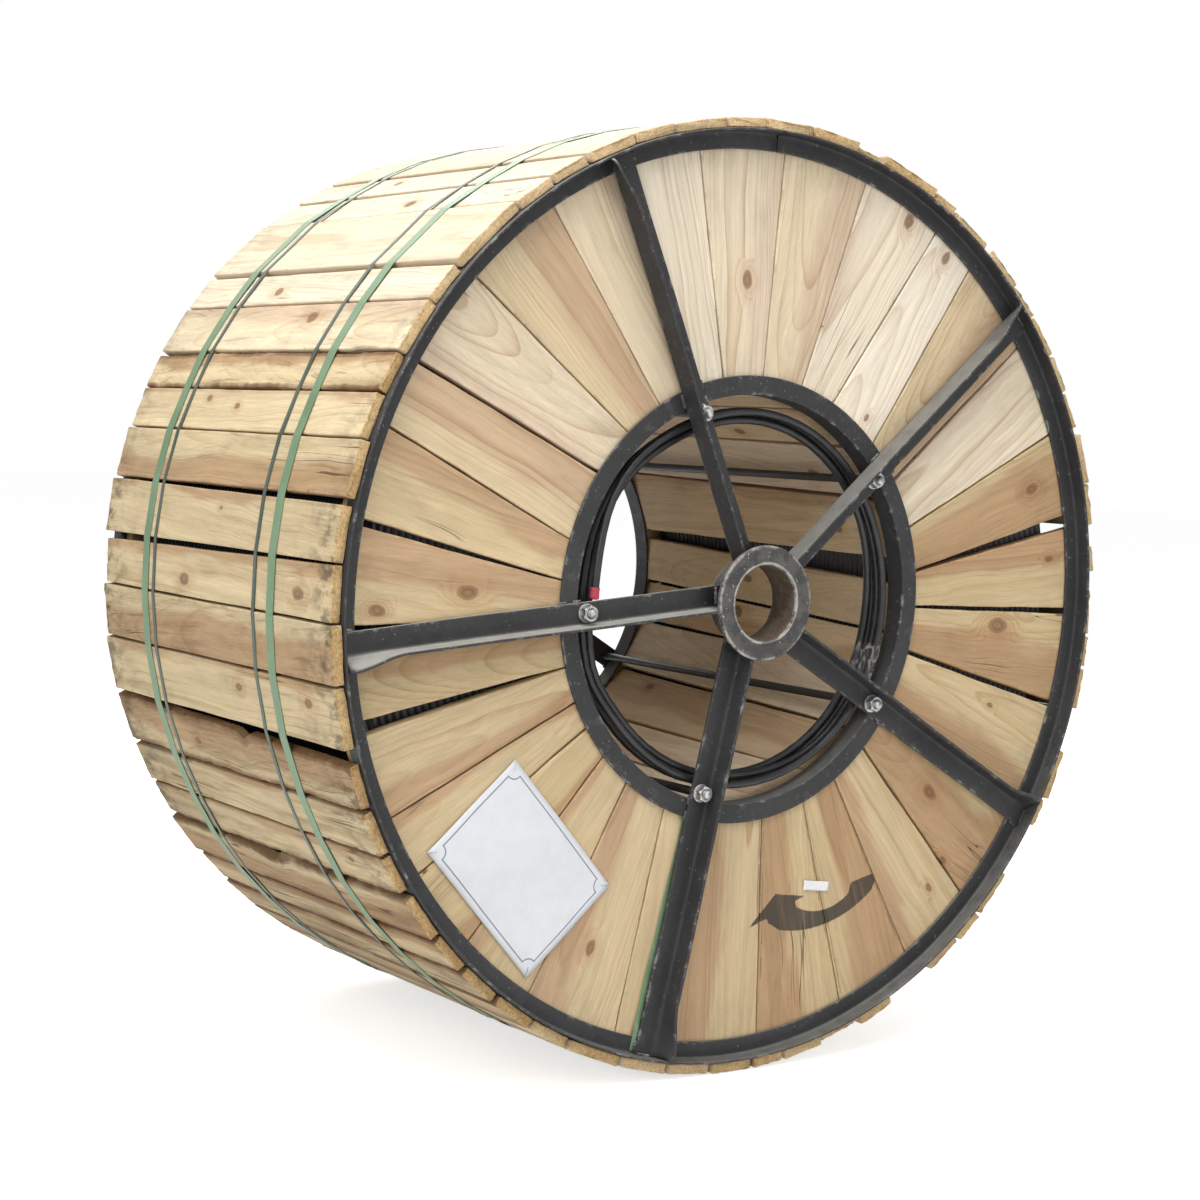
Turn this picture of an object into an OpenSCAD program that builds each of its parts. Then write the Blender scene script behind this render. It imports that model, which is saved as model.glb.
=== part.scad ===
// Lagged cable drum standing on its rim: two fans of boards held between steel angle rings,
// five angle spokes a side, a stave barrel on tie rods, the wound cable and strapped lagging.

/* [Rim] */
// Outer radius of the steel rims
rim_r = 600; // [520:1:720]
// Width of the drum over the lips of its rims
drum_w = 668; // [560:1:860]
// Leg of the rim's steel angle, flat on the boards and standing out as a lip
rim_leg = 25; // [20:1:36]
// Thickness of the rim's steel angle
rim_t = 3; // [2:0.5:5]

/* [Eye ring] */
// Inner radius of the eye ring
eye_r = 265; // [230:1:300]
// Flat leg of the eye ring on the boards
eye_leg = 25; // [20:1:36]
// Depth of the eye ring's leg that reaches into the barrel
eye_depth = 30; // [26:1:45]
// Thickness of the eye ring
eye_t = 3; // [2:0.5:5]

/* [Flange boards] */
// Thickness of the flange boards
board_t = 20; // [14:1:22]
// Widest gap between two flange boards
seam_gap = 20; // [8:1:24]
// Turn of the back flange's boards against the front ones
back_turn = 133; // [0:1:359]

/* [Barrel] */
// Thickness of the barrel staves
stave_t = 18; // [12:1:24]
// Widest gap between two staves
stave_gap = 37; // [20:1:42]

/* [Spokes] */
// Both legs of the spokes' steel angle
spoke_leg = 32; // [28:1:40]
// Thickness of the spokes' steel angle
spoke_t = 4; // [3:0.5:6]
// Direction of the first spoke, counted from the right
spoke_turn = 42; // [30:1:54]
// Offset of the spokes' heel from the radius
spoke_heel = 6; // [2:1:10]
// Length of the splayed foot at the rim
foot_l = 84; // [60:1:120]
// Sideways splay of the foot
foot_splay = 14; // [4:1:20]
// Corner radius of the foot
foot_corner = 14; // [6:1:18]

/* [Hub] */
// Bore of the hub pipe
hub_bore = 98; // [80:1:110]
// Wall of the hub pipe
hub_wall = 4; // [3:0.5:8]
// Length of the hub pipe behind the flange's face
hub_depth = 12; // [8:1:60]
// Diameter of the hub's ring plate
plate_d = 148; // [132:1:160]
// Thickness of the hub's ring plate
plate_t = 6; // [4:0.5:10]

/* [Tie rods] */
// Diameter of the tie rods
rod_d = 12; // [10:1:14]
// Distance of the rods inside the eye ring
rod_inset = 10; // [9:1:16]
// Width of the nuts across their flats
nut_af = 19; // [18:0.5:22]
// Height of the nuts
nut_h = 10; // [8:0.5:12]
// Diameter of the washers
washer_d = 24; // [22:0.5:26]
// Thickness of the washers
washer_t = 2.5; // [1.5:0.5:4]
// Rod standing out of the nut
rod_end = 6; // [3:0.5:12]

/* [Cable] */
// Diameter of the cable
cable_d = 10.3; // [9:0.1:12]
// Depth of the winding's outside below the outer radius of the rims
winding_drop = 42; // [25:1:110]
// Depth of the loose inner end behind the flange's face
tail_drop = 10; // [4:1:20]
// Turns of the loose inner end beside each other
tail_across = 2; // [1:1:3]
// Layers of the loose inner end
tail_layers = 3; // [1:1:4]
// Diameter of the end cap
cap_d = 13; // [12.5:0.5:16]
// Length of the end cap
cap_l = 24; // [16:1:32]

/* [Lagging] */
// Thickness of the thickest lagging boards
lag_t = 14; // [10:0.5:20]
// Distance of the longest lagging boards from the rims' lips
lag_inset = 2; // [0:0.5:8]
// Largest set-back of a lagging board's end
lag_setback = 22; // [8:1:24]

/* [Straps] */
// Width of the light straps
strap_w = 19; // [12:1:25]
// Width of the narrow dark straps
cord_strap_w = 8; // [5:1:12]
// Thickness of the straps
strap_t = 0.8; // [0.5:0.1:1.2]
// Distance of the front light strap from the lip of the rim
front_strap_in = 160; // [120:1:185]
// Distance of the front dark strap from the lip of the rim
front_cord_in = 205; // [200:1:260]
// Distance of the back dark strap from the lip of the rim
back_cord_in = 171; // [166:1:230]
// Distance of the back light strap from the lip of the rim
back_strap_in = 145; // [100:1:150]
// Gap from the strap strip beside the bottom spoke to the flat leg of the rim
strip_gap = 12; // [2:1:80]
// Width of that strip
strip_w = 12; // [8:1:16]
// Strip that shows beside the spoke at the eye ring
strip_show = 0.6; // [0:0.1:3]

/* [Sheets] */
// Long side of the stapled sheet
sheet_l = 222; // [180:1:240]
// Short side of the stapled sheet
sheet_w = 160; // [120:1:180]
// Thickness of the stapled sheet
sheet_t = 0.5; // [0.3:0.1:1]
// Distance of the stapled sheet's middle from the outer radius of the rims
sheet_in = 134; // [125:1:170]
// Long side of the sticker
sticker_l = 44; // [30:1:60]
// Short side of the sticker
sticker_w = 13; // [8:1:20]
// Thickness of the sticker
sticker_t = 0.3; // [0.2:0.1:0.6]
// Distance of the sticker's middle from the outer radius of the rims
sticker_in = 192; // [150:1:250]

/* [Hidden] */
$fn = 96;

// Overrun of every cut
over = 1;
// Gap between pieces that rest against each other
seat = 0.3;
// Radial play of a nut or a washer on its rod
thread_play = 0.1;
// Play of a rod in its hole
hole_play = 1;

// Planes along the drum's axis, from the middle of the drum outwards
lip_z = drum_w / 2;
board_face_z = lip_z - rim_leg;
face_z = board_face_z + rim_t;
board_back_z = board_face_z - board_t;
spoke_top_z = face_z + spoke_t;
plate_back_z = face_z + spoke_leg;

// Height of the axis over the floor: a lagging board and a strap lie under it
axis_h = rim_r + seat + lag_t + strap_t;

// Seams of the flange boards, counter-clockwise from the right: angle at the rim's flat leg, angle
// at the eye ring, and the gap at both places as shares of the widest gap
seam_angles_and_gap_shares = [
    [-1.5, -1.7, 0.40, 0.15],
    [11.1, 7.8, 1.00, 0.12],
    [23.9, 19.8, 0.08, 0.08],
    [37.6, 33.8, 0.08, 0.20],
    [51.6, 46.0, 0.08, 0.08],
    [59.4, 63.6, 0.10, 0.10],
    [73.3, 75.0, 0.04, 0.04],
    [87.3, 87.9, 0.04, 0.05],
    [100.9, 100.8, 0.05, 0.10],
    [113.5, 112.0, 0.05, 0.05],
    [124.2, 121.8, 0.04, 0.04],
    [138.1, 133.5, 0.10, 0.04],
    [150.8, 146.6, 0.25, 0.15],
    [159.3, 164.8, 0.12, 0.04],
    [170.9, 175.0, 0.45, 0.05],
    [183.3, 185.0, 0.40, 0.05],
    [194.8, 196.6, 0.65, 0.05],
    [206.6, 206.0, 0.06, 0.10],
    [214.7, 213.5, 0.06, 0.10],
    [226.0, 222.5, 0.04, 0.06],
    [237.6, 232.6, 0.04, 0.06],
    [252.3, 246.6, 0.04, 0.05],
    [261.0, 258.0, 0.05, 0.05],
    [275.4, 279.0, 0.06, 0.06],
    [289.8, 293.0, 0.04, 0.04],
    [302.4, 304.6, 0.05, 0.04],
    [314.9, 317.0, 0.10, 0.15],
    [329.0, 328.0, 0.05, 0.05],
    [345.2, 346.1, 0.40, 0.28]
];

// Lagging boards, counter-clockwise from the right: first and last angle, then thickness and the
// set-backs of the front and the back end as shares of the largest. One board is missing near 325.
lag_angles_and_shares = [
    [1.8, 3.9, 0.75, 0.3, 0.2], [4.0, 7.5, 0.95, 0.1, 0.1], [10.3, 15.9, 1.0, 0.1, 0.2],
    [16.0, 22.9, 1.0, 0.0, 0.1], [23.7, 28.6, 1.0, 0.2, 0.0], [29.0, 34.2, 0.95, 0.1, 0.3],
    [34.4, 40.2, 0.9, 0.1, 0.1], [40.4, 45.2, 0.9, 0.2, 0.2], [45.4, 51.7, 0.9, 0.1, 0.1],
    [52.8, 59.4, 0.8, 0.1, 0.2], [59.6, 63.4, 1.0, 0.1, 0.0], [63.6, 72.8, 1.0, 0.0, 0.1],
    [73.2, 76.9, 0.8, 0.5, 0.2], [77.2, 84.2, 1.0, 0.1, 0.1], [84.4, 91.7, 0.95, 0.2, 0.1],
    [91.9, 97.5, 0.95, 0.1, 0.2], [97.7, 100.9, 0.9, 0.2, 0.1], [101.1, 105.2, 0.9, 0.1, 0.3],
    [105.4, 111.3, 0.95, 0.2, 0.1], [111.6, 118.2, 1.0, 0.0, 0.2], [118.7, 123.7, 0.95, 0.1, 0.1],
    [124.1, 129.3, 0.9, 0.0, 0.1], [129.6, 139.5, 1.0, 0.1, 0.2], [139.9, 144.9, 0.95, 0.2, 0.0],
    [145.1, 151.7, 1.0, 0.0, 0.1], [152.3, 156.7, 0.9, 0.2, 0.1], [157.0, 162.1, 0.9, 0.3, 0.3],
    [162.4, 168.8, 1.0, 0.0, 0.2], [169.6, 175.9, 1.0, 0.2, 0.0], [176.2, 182.4, 0.95, 0.2, 0.4],
    [182.7, 189.2, 1.0, 0.0, 0.1], [189.5, 196.4, 1.0, 0.1, 0.0], [198.0, 203.6, 0.95, 0.1, 0.1],
    [203.9, 209.3, 0.95, 0.2, 0.2], [209.6, 214.7, 0.9, 0.3, 0.4], [215.1, 221.2, 1.0, 0.1, 0.1],
    [221.5, 226.7, 0.9, 0.2, 0.5], [227.0, 232.7, 0.95, 0.2, 0.3], [232.9, 238.9, 0.95, 0.2, 0.2],
    [239.2, 244.9, 0.95, 0.3, 0.2], [245.2, 252.9, 1.0, 0.2, 0.1], [253.1, 259.9, 1.0, 0.1, 0.2],
    [260.2, 266.6, 1.0, 0.1, 0.1], [266.9, 273.1, 1.0, 0.1, 0.1], [273.4, 278.1, 1.0, 0.1, 0.2],
    [278.3, 284.4, 1.0, 0.1, 0.1], [284.7, 290.5, 0.8, 0.4, 0.2], [290.8, 296.4, 0.95, 0.0, 0.1],
    [296.9, 303.4, 0.75, 1.0, 0.3], [303.9, 309.5, 1.0, 0.1, 0.1], [309.7, 314.0, 1.0, 0.0, 0.2],
    [314.4, 320.9, 0.95, 0.1, 0.0], [328.5, 332.4, 0.9, 0.1, 0.1], [332.6, 339.5, 1.0, 0.0, 0.1],
    [340.0, 345.4, 0.75, 0.4, 0.2], [345.9, 350.9, 0.95, 0.1, 0.0], [351.2, 355.3, 1.0, 0.2, 0.1],
    [355.6, 361.5, 0.8, 0.2, 0.3]
];

// Seams of the barrel staves, counter-clockwise from the right: angle at the front and at the back
// end, and the gap at both places as shares of the widest gap
stave_angles_and_gap_shares = [
    [8.2, 12.0, 1.00, 0.40], [29.8, 33.5, 0.10, 0.10], [48.3, 51.6, 0.10, 0.10],
    [67.0, 69.5, 0.15, 0.06], [84.5, 86.5, 0.06, 0.12], [104.0, 105.0, 0.20, 0.15],
    [122.5, 122.0, 0.06, 0.06], [141.0, 139.5, 0.12, 0.20], [158.0, 157.0, 0.06, 0.06],
    [177.5, 176.0, 0.25, 0.10], [196.0, 195.5, 0.06, 0.06], [213.0, 214.0, 0.10, 0.15],
    [232.0, 233.0, 0.06, 0.06], [249.5, 251.0, 0.15, 0.10], [267.0, 270.5, 0.06, 0.06],
    [284.0, 289.0, 0.10, 0.06], [301.5, 307.5, 0.08, 0.08], [320.0, 326.5, 0.12, 0.12],
    [338.5, 343.6, 0.08, 0.08], [350.1, 356.5, 0.08, 0.08]
];

// Shape of one cable turn in the winding's outline: shares along and shares outwards
turn_along_shares = [0.06, 0.3, 0.7, 0.94];
turn_out_shares = [0.16, 0.5, 0.5, 0.16];

// Rings along the splayed foot
foot_steps = 8;
spoke_n = 5;
// Spoke that the strap strip lies beside, counted from the first
bottom_spoke = 3;
sheet_turn = 225;
sheet_tilt = 42;
sticker_turn = 290.4;
sticker_tilt = 8;
cap_turn = 176;
strip_tilt = 1.2;

// Radii that the pieces share
seam_out_r = rim_r - rim_leg;
seam_in_r = eye_r + eye_leg;
board_in_r = (eye_r + eye_t + seat) / cos(widest_half_angle());
board_out_r = rim_r - rim_t - seat;
stave_r = eye_r + eye_t + seat;
stave_n = len(stave_angles_and_gap_shares);
stave_half_w = stave_r * tan(widest_stave_angle());
winding_in_r = norm([stave_r + stave_t, stave_half_w]) + seat;
winding_r = rim_r - winding_drop;
winding_z = board_back_z - seat;
hub_r = hub_bore / 2 + hub_wall;
rod_s = eye_r - rod_inset;
rod_side = spoke_heel - spoke_t - (spoke_leg - spoke_t) / 2;
rod_circle_r = norm([rod_s, rod_side]);
spoke_end_r = rim_r - rim_t - seat;
foot_end_s = sqrt(pow(spoke_end_r, 2) - pow(spoke_heel + foot_splay, 2));
tail_out_r = rod_circle_r - rod_d / 2 - seat;
tail_top_z = face_z - tail_drop;
lag_r = rim_r + seat;
strip_in_s = seam_in_r + seat;
strip_side = spoke_heel - spoke_leg + strip_in_s * tan(strip_tilt) - strip_show;
strip_l = sqrt(pow(seam_out_r - strip_gap, 2) - pow(strip_side - strip_w / 2, 2)) - strip_in_s;
sheet_r = rim_r - sheet_in;
sticker_r = rim_r - sticker_in;

function polar(r, a) = r * [cos(a), sin(a)];
function across(a) = [-sin(a), cos(a)];
function seam(i) = let(n = len(seam_angles_and_gap_shares), s = seam_angles_and_gap_shares[i % n])
    [s[0] + 360 * floor(i / n), s[1] + 360 * floor(i / n), s[2], s[3]];
// Half of the widest board's angle at the eye
function widest_half_angle() = max([for (i = [0:len(seam_angles_and_gap_shares) - 1])
    seam(i + 1)[1] - seam(i)[1]]) / 2;
function stave_seam(i) = let(s = stave_angles_and_gap_shares[i % stave_n], turn = 360 * floor(i / stave_n))
    [s[0] + turn, s[1] + turn, s[2], s[3]];
// Direction that a stave's flat face looks in
function stave_angle(i) = let(a = stave_seam(i), b = stave_seam(i + 1)) (a[0] + a[1] + b[0] + b[1]) / 4;
// Furthest corner of any stave from the middle of its face, as an angle
function widest_stave_angle() = max([for (i = [0:stave_n - 1], k = [0, 1])
    max(stave_angle(i) - stave_seam(i)[k], stave_seam(i + 1)[k] - stave_angle(i))]);
// Place of a stave's edge across its face, on one side of a seam, at the front end 0 or the back end 1
function stave_edge(i, s, side, end) =
    stave_r * tan(s[end] - stave_angle(i)) + side * s[2 + end] * stave_gap / 2;
// A corner of a flange board on one side of a seam, at a radius along the seam's line
function seam_corner(s, side, r) =
    let(outer = polar(seam_out_r, s[0]) + side * s[2] * seam_gap / 2 * across(s[0]),
        inner = polar(seam_in_r, s[1]) + side * s[3] * seam_gap / 2 * across(s[1]),
        u = (r - seam_in_r) / (seam_out_r - seam_in_r))
    inner + (outer - inner) * u;
// Outline of one end-to-end row of cable turns from point a to point b, bulging to the right
function turns(a, b) =
    let(d = b - a, n = round(norm(d) / cable_d), step = d / n, out = [d[1], -d[0]] / norm(d) * cable_d)
    [for (i = [0:n - 1], k = [0:len(turn_along_shares) - 1])
        a + step * (i + turn_along_shares[k]) + out * turn_out_shares[k] / 2];
// Sideways lean of the foot's upright leg at a share of its length, straight over its first step
function lean(u) = let(v = max(0, u - 1 / foot_steps) / (1 - 1 / foot_steps))
    foot_splay * v * v * (3 - 2 * v);
// Height lost by the foot's rounded corner at a share of its length
function corner_drop(u) = let(x = max(0, foot_corner - (1 - u) * foot_l))
    foot_corner - sqrt(foot_corner * foot_corner - x * x);
function foot_ring(u) =
    let(s = foot_end_s - foot_l * (1 - u), top = face_z + spoke_leg - corner_drop(u))
    [[s, spoke_heel - spoke_t, face_z], [s, spoke_heel, face_z],
     [s, spoke_heel + lean(u), top], [s, spoke_heel - spoke_t + lean(u), top]];

// Lays the drum down: its axis runs front to back and its front faces -Y
module laid() {
    translate([0, 0, axis_h]) rotate([90, 0, 0]) children();
}

// The same piece on the back flange
module on_back() {
    mirror([0, 0, 1]) children();
}

module tube(r_in, r_out, z0, z1) {
    translate([0, 0, z0]) difference() {
        cylinder(r = r_out, h = z1 - z0);
        translate([0, 0, -over]) cylinder(r = r_in, h = z1 - z0 + 2 * over);
    }
}

module rim() {
    color([0.20, 0.21, 0.22]) {
        rotate_extrude() polygon([
            [rim_r - rim_leg, board_face_z], [rim_r, board_face_z], [rim_r, lip_z],
            [rim_r - rim_t, lip_z], [rim_r - rim_t, face_z], [rim_r - rim_leg, face_z]]);
    }
}

module eye_ring() {
    color([0.20, 0.21, 0.22]) {
        rotate_extrude() polygon([
            [eye_r, face_z - eye_depth], [eye_r + eye_t, face_z - eye_depth],
            [eye_r + eye_t, board_face_z], [eye_r + eye_leg, board_face_z],
            [eye_r + eye_leg, face_z], [eye_r, face_z]]);
    }
}

module flange_boards(turn) {
    color([0.80, 0.66, 0.47]) {
        rotate([0, 0, turn]) translate([0, 0, board_back_z])
            for (i = [0:len(seam_angles_and_gap_shares) - 1])
                linear_extrude(board_t) polygon([
                    seam_corner(seam(i), 1, board_in_r), seam_corner(seam(i), 1, board_out_r),
                    seam_corner(seam(i + 1), -1, board_out_r), seam_corner(seam(i + 1), -1, board_in_r)]);
    }
}

module barrel_staves() {
    end_z = board_back_z - seat;
    color([0.70, 0.55, 0.38]) {
        for (i = [0:stave_n - 1]) {
            a = stave_seam(i);
            b = stave_seam(i + 1);
            rotate([0, 0, stave_angle(i)]) translate([stave_r, 0, 0]) rotate([90, 0, 90])
                linear_extrude(stave_t) polygon([
                    [stave_edge(i, a, 1, 0), end_z], [stave_edge(i, a, 1, 1), -end_z],
                    [stave_edge(i, b, -1, 1), -end_z], [stave_edge(i, b, -1, 0), end_z]]);
        }
    }
}

module hub() {
    color([0.22, 0.22, 0.22]) {
        rotate_extrude() polygon([
            [hub_bore / 2, face_z - hub_depth], [hub_r, face_z - hub_depth], [hub_r, plate_back_z],
            [plate_d / 2, plate_back_z], [plate_d / 2, plate_back_z + plate_t],
            [hub_bore / 2, plate_back_z + plate_t]]);
    }
}

// Upright leg over the last stretch to the rim, leaning sideways more and more
module spoke_foot() {
    rings = [for (k = [0:foot_steps]) each foot_ring(k / foot_steps)];
    sides = [for (k = [0:foot_steps - 1], j = [0:3]) let(a = 4 * k + j, b = 4 * k + (j + 1) % 4)
        each [[a, b + 4, b], [a, a + 4, b + 4]]];
    last = 4 * foot_steps;
    polyhedron(rings, concat(sides, [[0, 1, 2, 3], [last + 3, last + 2, last + 1, last]]));
}

module spoke() {
    straight_l = foot_end_s - foot_l + foot_l / foot_steps / 2;
    difference() {
        union() {
            intersection() {
                translate([0, spoke_heel - spoke_leg, face_z]) cube([rim_r, spoke_leg, spoke_t]);
                cylinder(r = spoke_end_r, h = spoke_top_z + over);
            }
            translate([0, spoke_heel - spoke_t, face_z]) cube([straight_l, spoke_t, spoke_leg]);
            spoke_foot();
        }
        cylinder(r = hub_r + seat, h = plate_back_z + over);
        translate([rod_s, rod_side, face_z - over])
            cylinder(d = rod_d + hole_play, h = spoke_t + 2 * over, $fn = 32);
    }
}

module spokes() {
    color([0.20, 0.21, 0.22]) {
        for (i = [0:spoke_n - 1]) rotate([0, 0, spoke_turn + i * 360 / spoke_n]) spoke();
    }
}

// Places its child at each tie rod
module at_rods() {
    for (i = [0:spoke_n - 1])
        rotate([0, 0, spoke_turn + i * 360 / spoke_n]) translate([rod_s, rod_side, 0]) children();
}

module tie_rods() {
    rod_z = spoke_top_z + washer_t + nut_h + rod_end;
    color([0.55, 0.55, 0.55]) {
        at_rods() translate([0, 0, -rod_z]) cylinder(d = rod_d, h = 2 * rod_z, $fn = 32);
    }
}

module washer_ring() {
    tube(rod_d / 2 + thread_play, washer_d / 2, spoke_top_z, spoke_top_z + washer_t);
}

module washers() {
    color([0.70, 0.70, 0.70]) {
        at_rods() {
            washer_ring();
            on_back() washer_ring();
        }
    }
}

module nut() {
    difference() {
        translate([0, 0, spoke_top_z + washer_t])
            cylinder(d = nut_af / cos(30), h = nut_h, $fn = 6);
        translate([0, 0, spoke_top_z])
            cylinder(d = rod_d + 2 * thread_play, h = washer_t + nut_h + over, $fn = 32);
    }
}

module nuts() {
    color([0.75, 0.75, 0.75]) {
        at_rods() {
            nut();
            on_back() nut();
        }
    }
}

// Wound cable: one turned body whose turns show on its ends, its outside and its bore
module cable_winding() {
    r0 = winding_in_r + turn_out_shares[1] * cable_d / 2;
    r1 = winding_r - turn_out_shares[1] * cable_d / 2;
    z1 = winding_z - turn_out_shares[1] * cable_d / 2;
    color([0.06, 0.06, 0.06]) {
        rotate_extrude() polygon(concat(
            turns([r0, -z1], [r1, -z1]), turns([r1, -z1], [r1, z1]),
            turns([r1, z1], [r0, z1]), turns([r0, z1], [r0, -z1])));
    }
}

module cable_tail() {
    w = tail_across * cable_d;
    h = tail_layers * cable_d;
    color([0.07, 0.07, 0.07]) {
        rotate_extrude() translate([tail_out_r - w, tail_top_z - h]) {
            translate([cable_d / 2, 0]) square([w - cable_d, h]);
            translate([0, cable_d / 2]) square([w, h - cable_d]);
            for (x = [cable_d / 2, w - cable_d / 2], y = [cable_d / 2, h - cable_d / 2])
                translate([x, y]) circle(d = cable_d, $fn = 32);
        }
    }
}

module tail_cap() {
    color([0.75, 0.10, 0.12]) {
        rotate([0, 0, cap_turn])
            translate([tail_out_r - tail_across * cable_d / 2, -cap_l / 2, tail_top_z + cap_d / 2 + seat])
                rotate([-90, 0, 0]) cylinder(d = cap_d, h = cap_l, $fn = 32);
    }
}

// Section of one lagging board, thicker by extra on its outside
module lag_section(row, extra) {
    half = (row[1] - row[0]) / 2;
    w = 2 * lag_r * tan(half);
    rotate([0, 0, row[0] + half]) translate([lag_r, -w / 2]) square([row[2] * lag_t + extra, w]);
}

module lagging_boards() {
    color([0.82, 0.70, 0.50]) {
        for (row = lag_angles_and_shares) {
            front = lip_z - lag_inset - row[3] * lag_setback;
            back = lip_z - lag_inset - row[4] * lag_setback;
            translate([0, 0, -back]) linear_extrude(front + back) lag_section(row, 0);
        }
    }
}

// A strap drawn tight round the lagging, its middle at height z along the axis
module strap(z, w, tint) {
    color(tint) {
        translate([0, 0, z - w / 2]) difference() {
            linear_extrude(w) hull() for (row = lag_angles_and_shares) lag_section(row, strap_t);
            translate([0, 0, -over]) linear_extrude(w + 2 * over)
                hull() for (row = lag_angles_and_shares) lag_section(row, 0);
        }
    }
}

module strap_strip() {
    color([0.25, 0.45, 0.35]) {
        rotate([0, 0, spoke_turn + bottom_spoke * 360 / spoke_n - strip_tilt])
            translate([strip_in_s, strip_side, board_face_z])
                cube([strip_l, strip_w, strap_t]);
    }
}

module flat_label(r, turn, tilt, l, w, t, tint) {
    color(tint) {
        translate(concat(polar(r, turn), [board_face_z])) rotate([0, 0, tilt])
            translate([-w / 2, -l / 2, 0]) cube([w, l, t]);
    }
}

light_strap_tint = [0.55, 0.72, 0.58];
dark_strap_tint = [0.30, 0.42, 0.36];
white_tint = [0.92, 0.92, 0.93];

laid() rim();  // front_rim
laid() on_back() rim();  // back_rim
laid() eye_ring();  // front_eye_ring
laid() on_back() eye_ring();  // back_eye_ring
laid() flange_boards(0);  // front_boards
laid() on_back() flange_boards(back_turn);  // back_boards
laid() barrel_staves();
laid() hub();  // front_hub
laid() on_back() hub();  // back_hub
laid() spokes();  // front_spokes
laid() on_back() spokes();  // back_spokes
laid() tie_rods();
laid() washers();
laid() nuts();
laid() cable_winding();
laid() cable_tail();
laid() tail_cap();
laid() lagging_boards();
laid() strap(lip_z - front_strap_in, strap_w, light_strap_tint);  // front_strap
laid() strap(lip_z - front_cord_in, cord_strap_w, dark_strap_tint);  // front_cord_strap
laid() strap(back_cord_in - lip_z, cord_strap_w, dark_strap_tint);  // back_cord_strap
laid() strap(back_strap_in - lip_z, strap_w, light_strap_tint);  // back_strap
laid() strap_strip();
laid() flat_label(sheet_r, sheet_turn, sheet_tilt, sheet_l, sheet_w, sheet_t, white_tint);  // label_sheet
laid() flat_label(sticker_r, sticker_turn, sticker_tilt, sticker_w, sticker_l, sticker_t, white_tint);  // sticker
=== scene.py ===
"""Looks of a lagged cable drum: sawn boards, painted steel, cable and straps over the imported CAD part."""
import math
from dataclasses import dataclass, field

import bmesh
import bpy
import numpy as np
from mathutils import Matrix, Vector

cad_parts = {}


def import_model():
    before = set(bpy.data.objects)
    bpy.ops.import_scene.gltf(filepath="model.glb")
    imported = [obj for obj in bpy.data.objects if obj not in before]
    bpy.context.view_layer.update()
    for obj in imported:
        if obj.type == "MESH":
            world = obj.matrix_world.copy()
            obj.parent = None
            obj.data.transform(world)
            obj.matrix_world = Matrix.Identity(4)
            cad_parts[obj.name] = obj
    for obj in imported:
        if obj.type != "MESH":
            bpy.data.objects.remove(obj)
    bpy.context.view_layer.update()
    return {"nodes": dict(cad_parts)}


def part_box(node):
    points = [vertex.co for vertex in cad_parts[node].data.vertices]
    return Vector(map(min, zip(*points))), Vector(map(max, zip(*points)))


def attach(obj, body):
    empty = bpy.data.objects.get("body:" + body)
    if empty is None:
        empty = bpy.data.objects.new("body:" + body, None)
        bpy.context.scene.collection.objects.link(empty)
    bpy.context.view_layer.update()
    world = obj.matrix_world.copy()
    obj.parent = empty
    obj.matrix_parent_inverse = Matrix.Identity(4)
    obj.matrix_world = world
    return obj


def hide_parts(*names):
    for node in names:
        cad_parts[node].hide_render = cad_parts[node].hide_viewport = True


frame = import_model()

rng = np.random.default_rng(23)
TAU = 2 * math.pi
MM = 0.001
DEG = math.pi / 180


def reach(node):
    """Radius of a turned CAD node, and its two ends along the axis with the front positive."""
    lo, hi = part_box(node)
    return (hi.x - lo.x) / 2, -hi.y, -lo.y


# Places that the CAD part gives
HUB_LOW, HUB_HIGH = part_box("front_hub")
AXIS_H = (HUB_LOW.z + HUB_HIGH.z) / 2
RIM_R, BOARD_Z, LIP_Z = reach("front_rim")
EYE_OUT_R, EYE_BACK_Z, FACE_Z = reach("front_eye_ring")
PLATE_R, HUB_BACK_Z, PLATE_Z = reach("front_hub")
WINDING_R, _, WINDING_Z = reach("cable_winding")
TAIL_R, TAIL_BACK_Z, TAIL_Z = reach("cable_tail")
ROD_END_Z = reach("tie_rods")[2]

# Stock sizes of the pieces
STEEL_LEG = 25 * MM
STEEL_T = 3 * MM
SPOKE_LEG = 32 * MM
SPOKE_T = 4 * MM
SPOKE_HEEL = 6 * MM
SPOKE_END_R = RIM_R - STEEL_T - 0.3 * MM
SPOKE_TURNS = [(42 + 72 * k) * DEG for k in range(5)]
FOOT_L = 84 * MM
FOOT_SPLAY = 14 * MM
FOOT_CORNER = 14 * MM
BORE_R = 49 * MM
PIPE_R = 53 * MM
PLATE_T = 6 * MM
ROD_S = 255 * MM
ROD_SIDE = -12 * MM
ROD_R = 6 * MM
WASHER_R = 12 * MM
WASHER_T = 2.5 * MM
NUT_AF = 19 * MM
NUT_H = 10 * MM
BOARD_T = 20 * MM
CABLE_D = 10.3 * MM
STRAP_T = 0.7 * MM


def world(p):
    """From the drum's own frame (x right, y up, z out of the front flange) to the part's frame."""
    p = np.asarray(p, float)
    return np.stack([p[..., 0], -p[..., 2], AXIS_H + p[..., 1]], -1)


def columns(*parts):
    """Numbers and arrays side by side, spread to one shape."""
    return np.stack(np.broadcast_arrays(*parts), -1)


def polar(r, a, z):
    return columns(r * np.cos(a), r * np.sin(a), z)


def around(steps):
    """Angles in even steps round a full turn."""
    return np.linspace(0, TAU, steps, endpoint=False)


def turned_by(a, x, y, z):
    """Points given along and across a radius at angle a."""
    c, s = math.cos(a), math.sin(a)
    return columns(x * c - y * s, x * s + y * c, z)


def ease(t):
    t = np.clip(t, 0, 1)
    return t * t * (3 - 2 * t)


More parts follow.
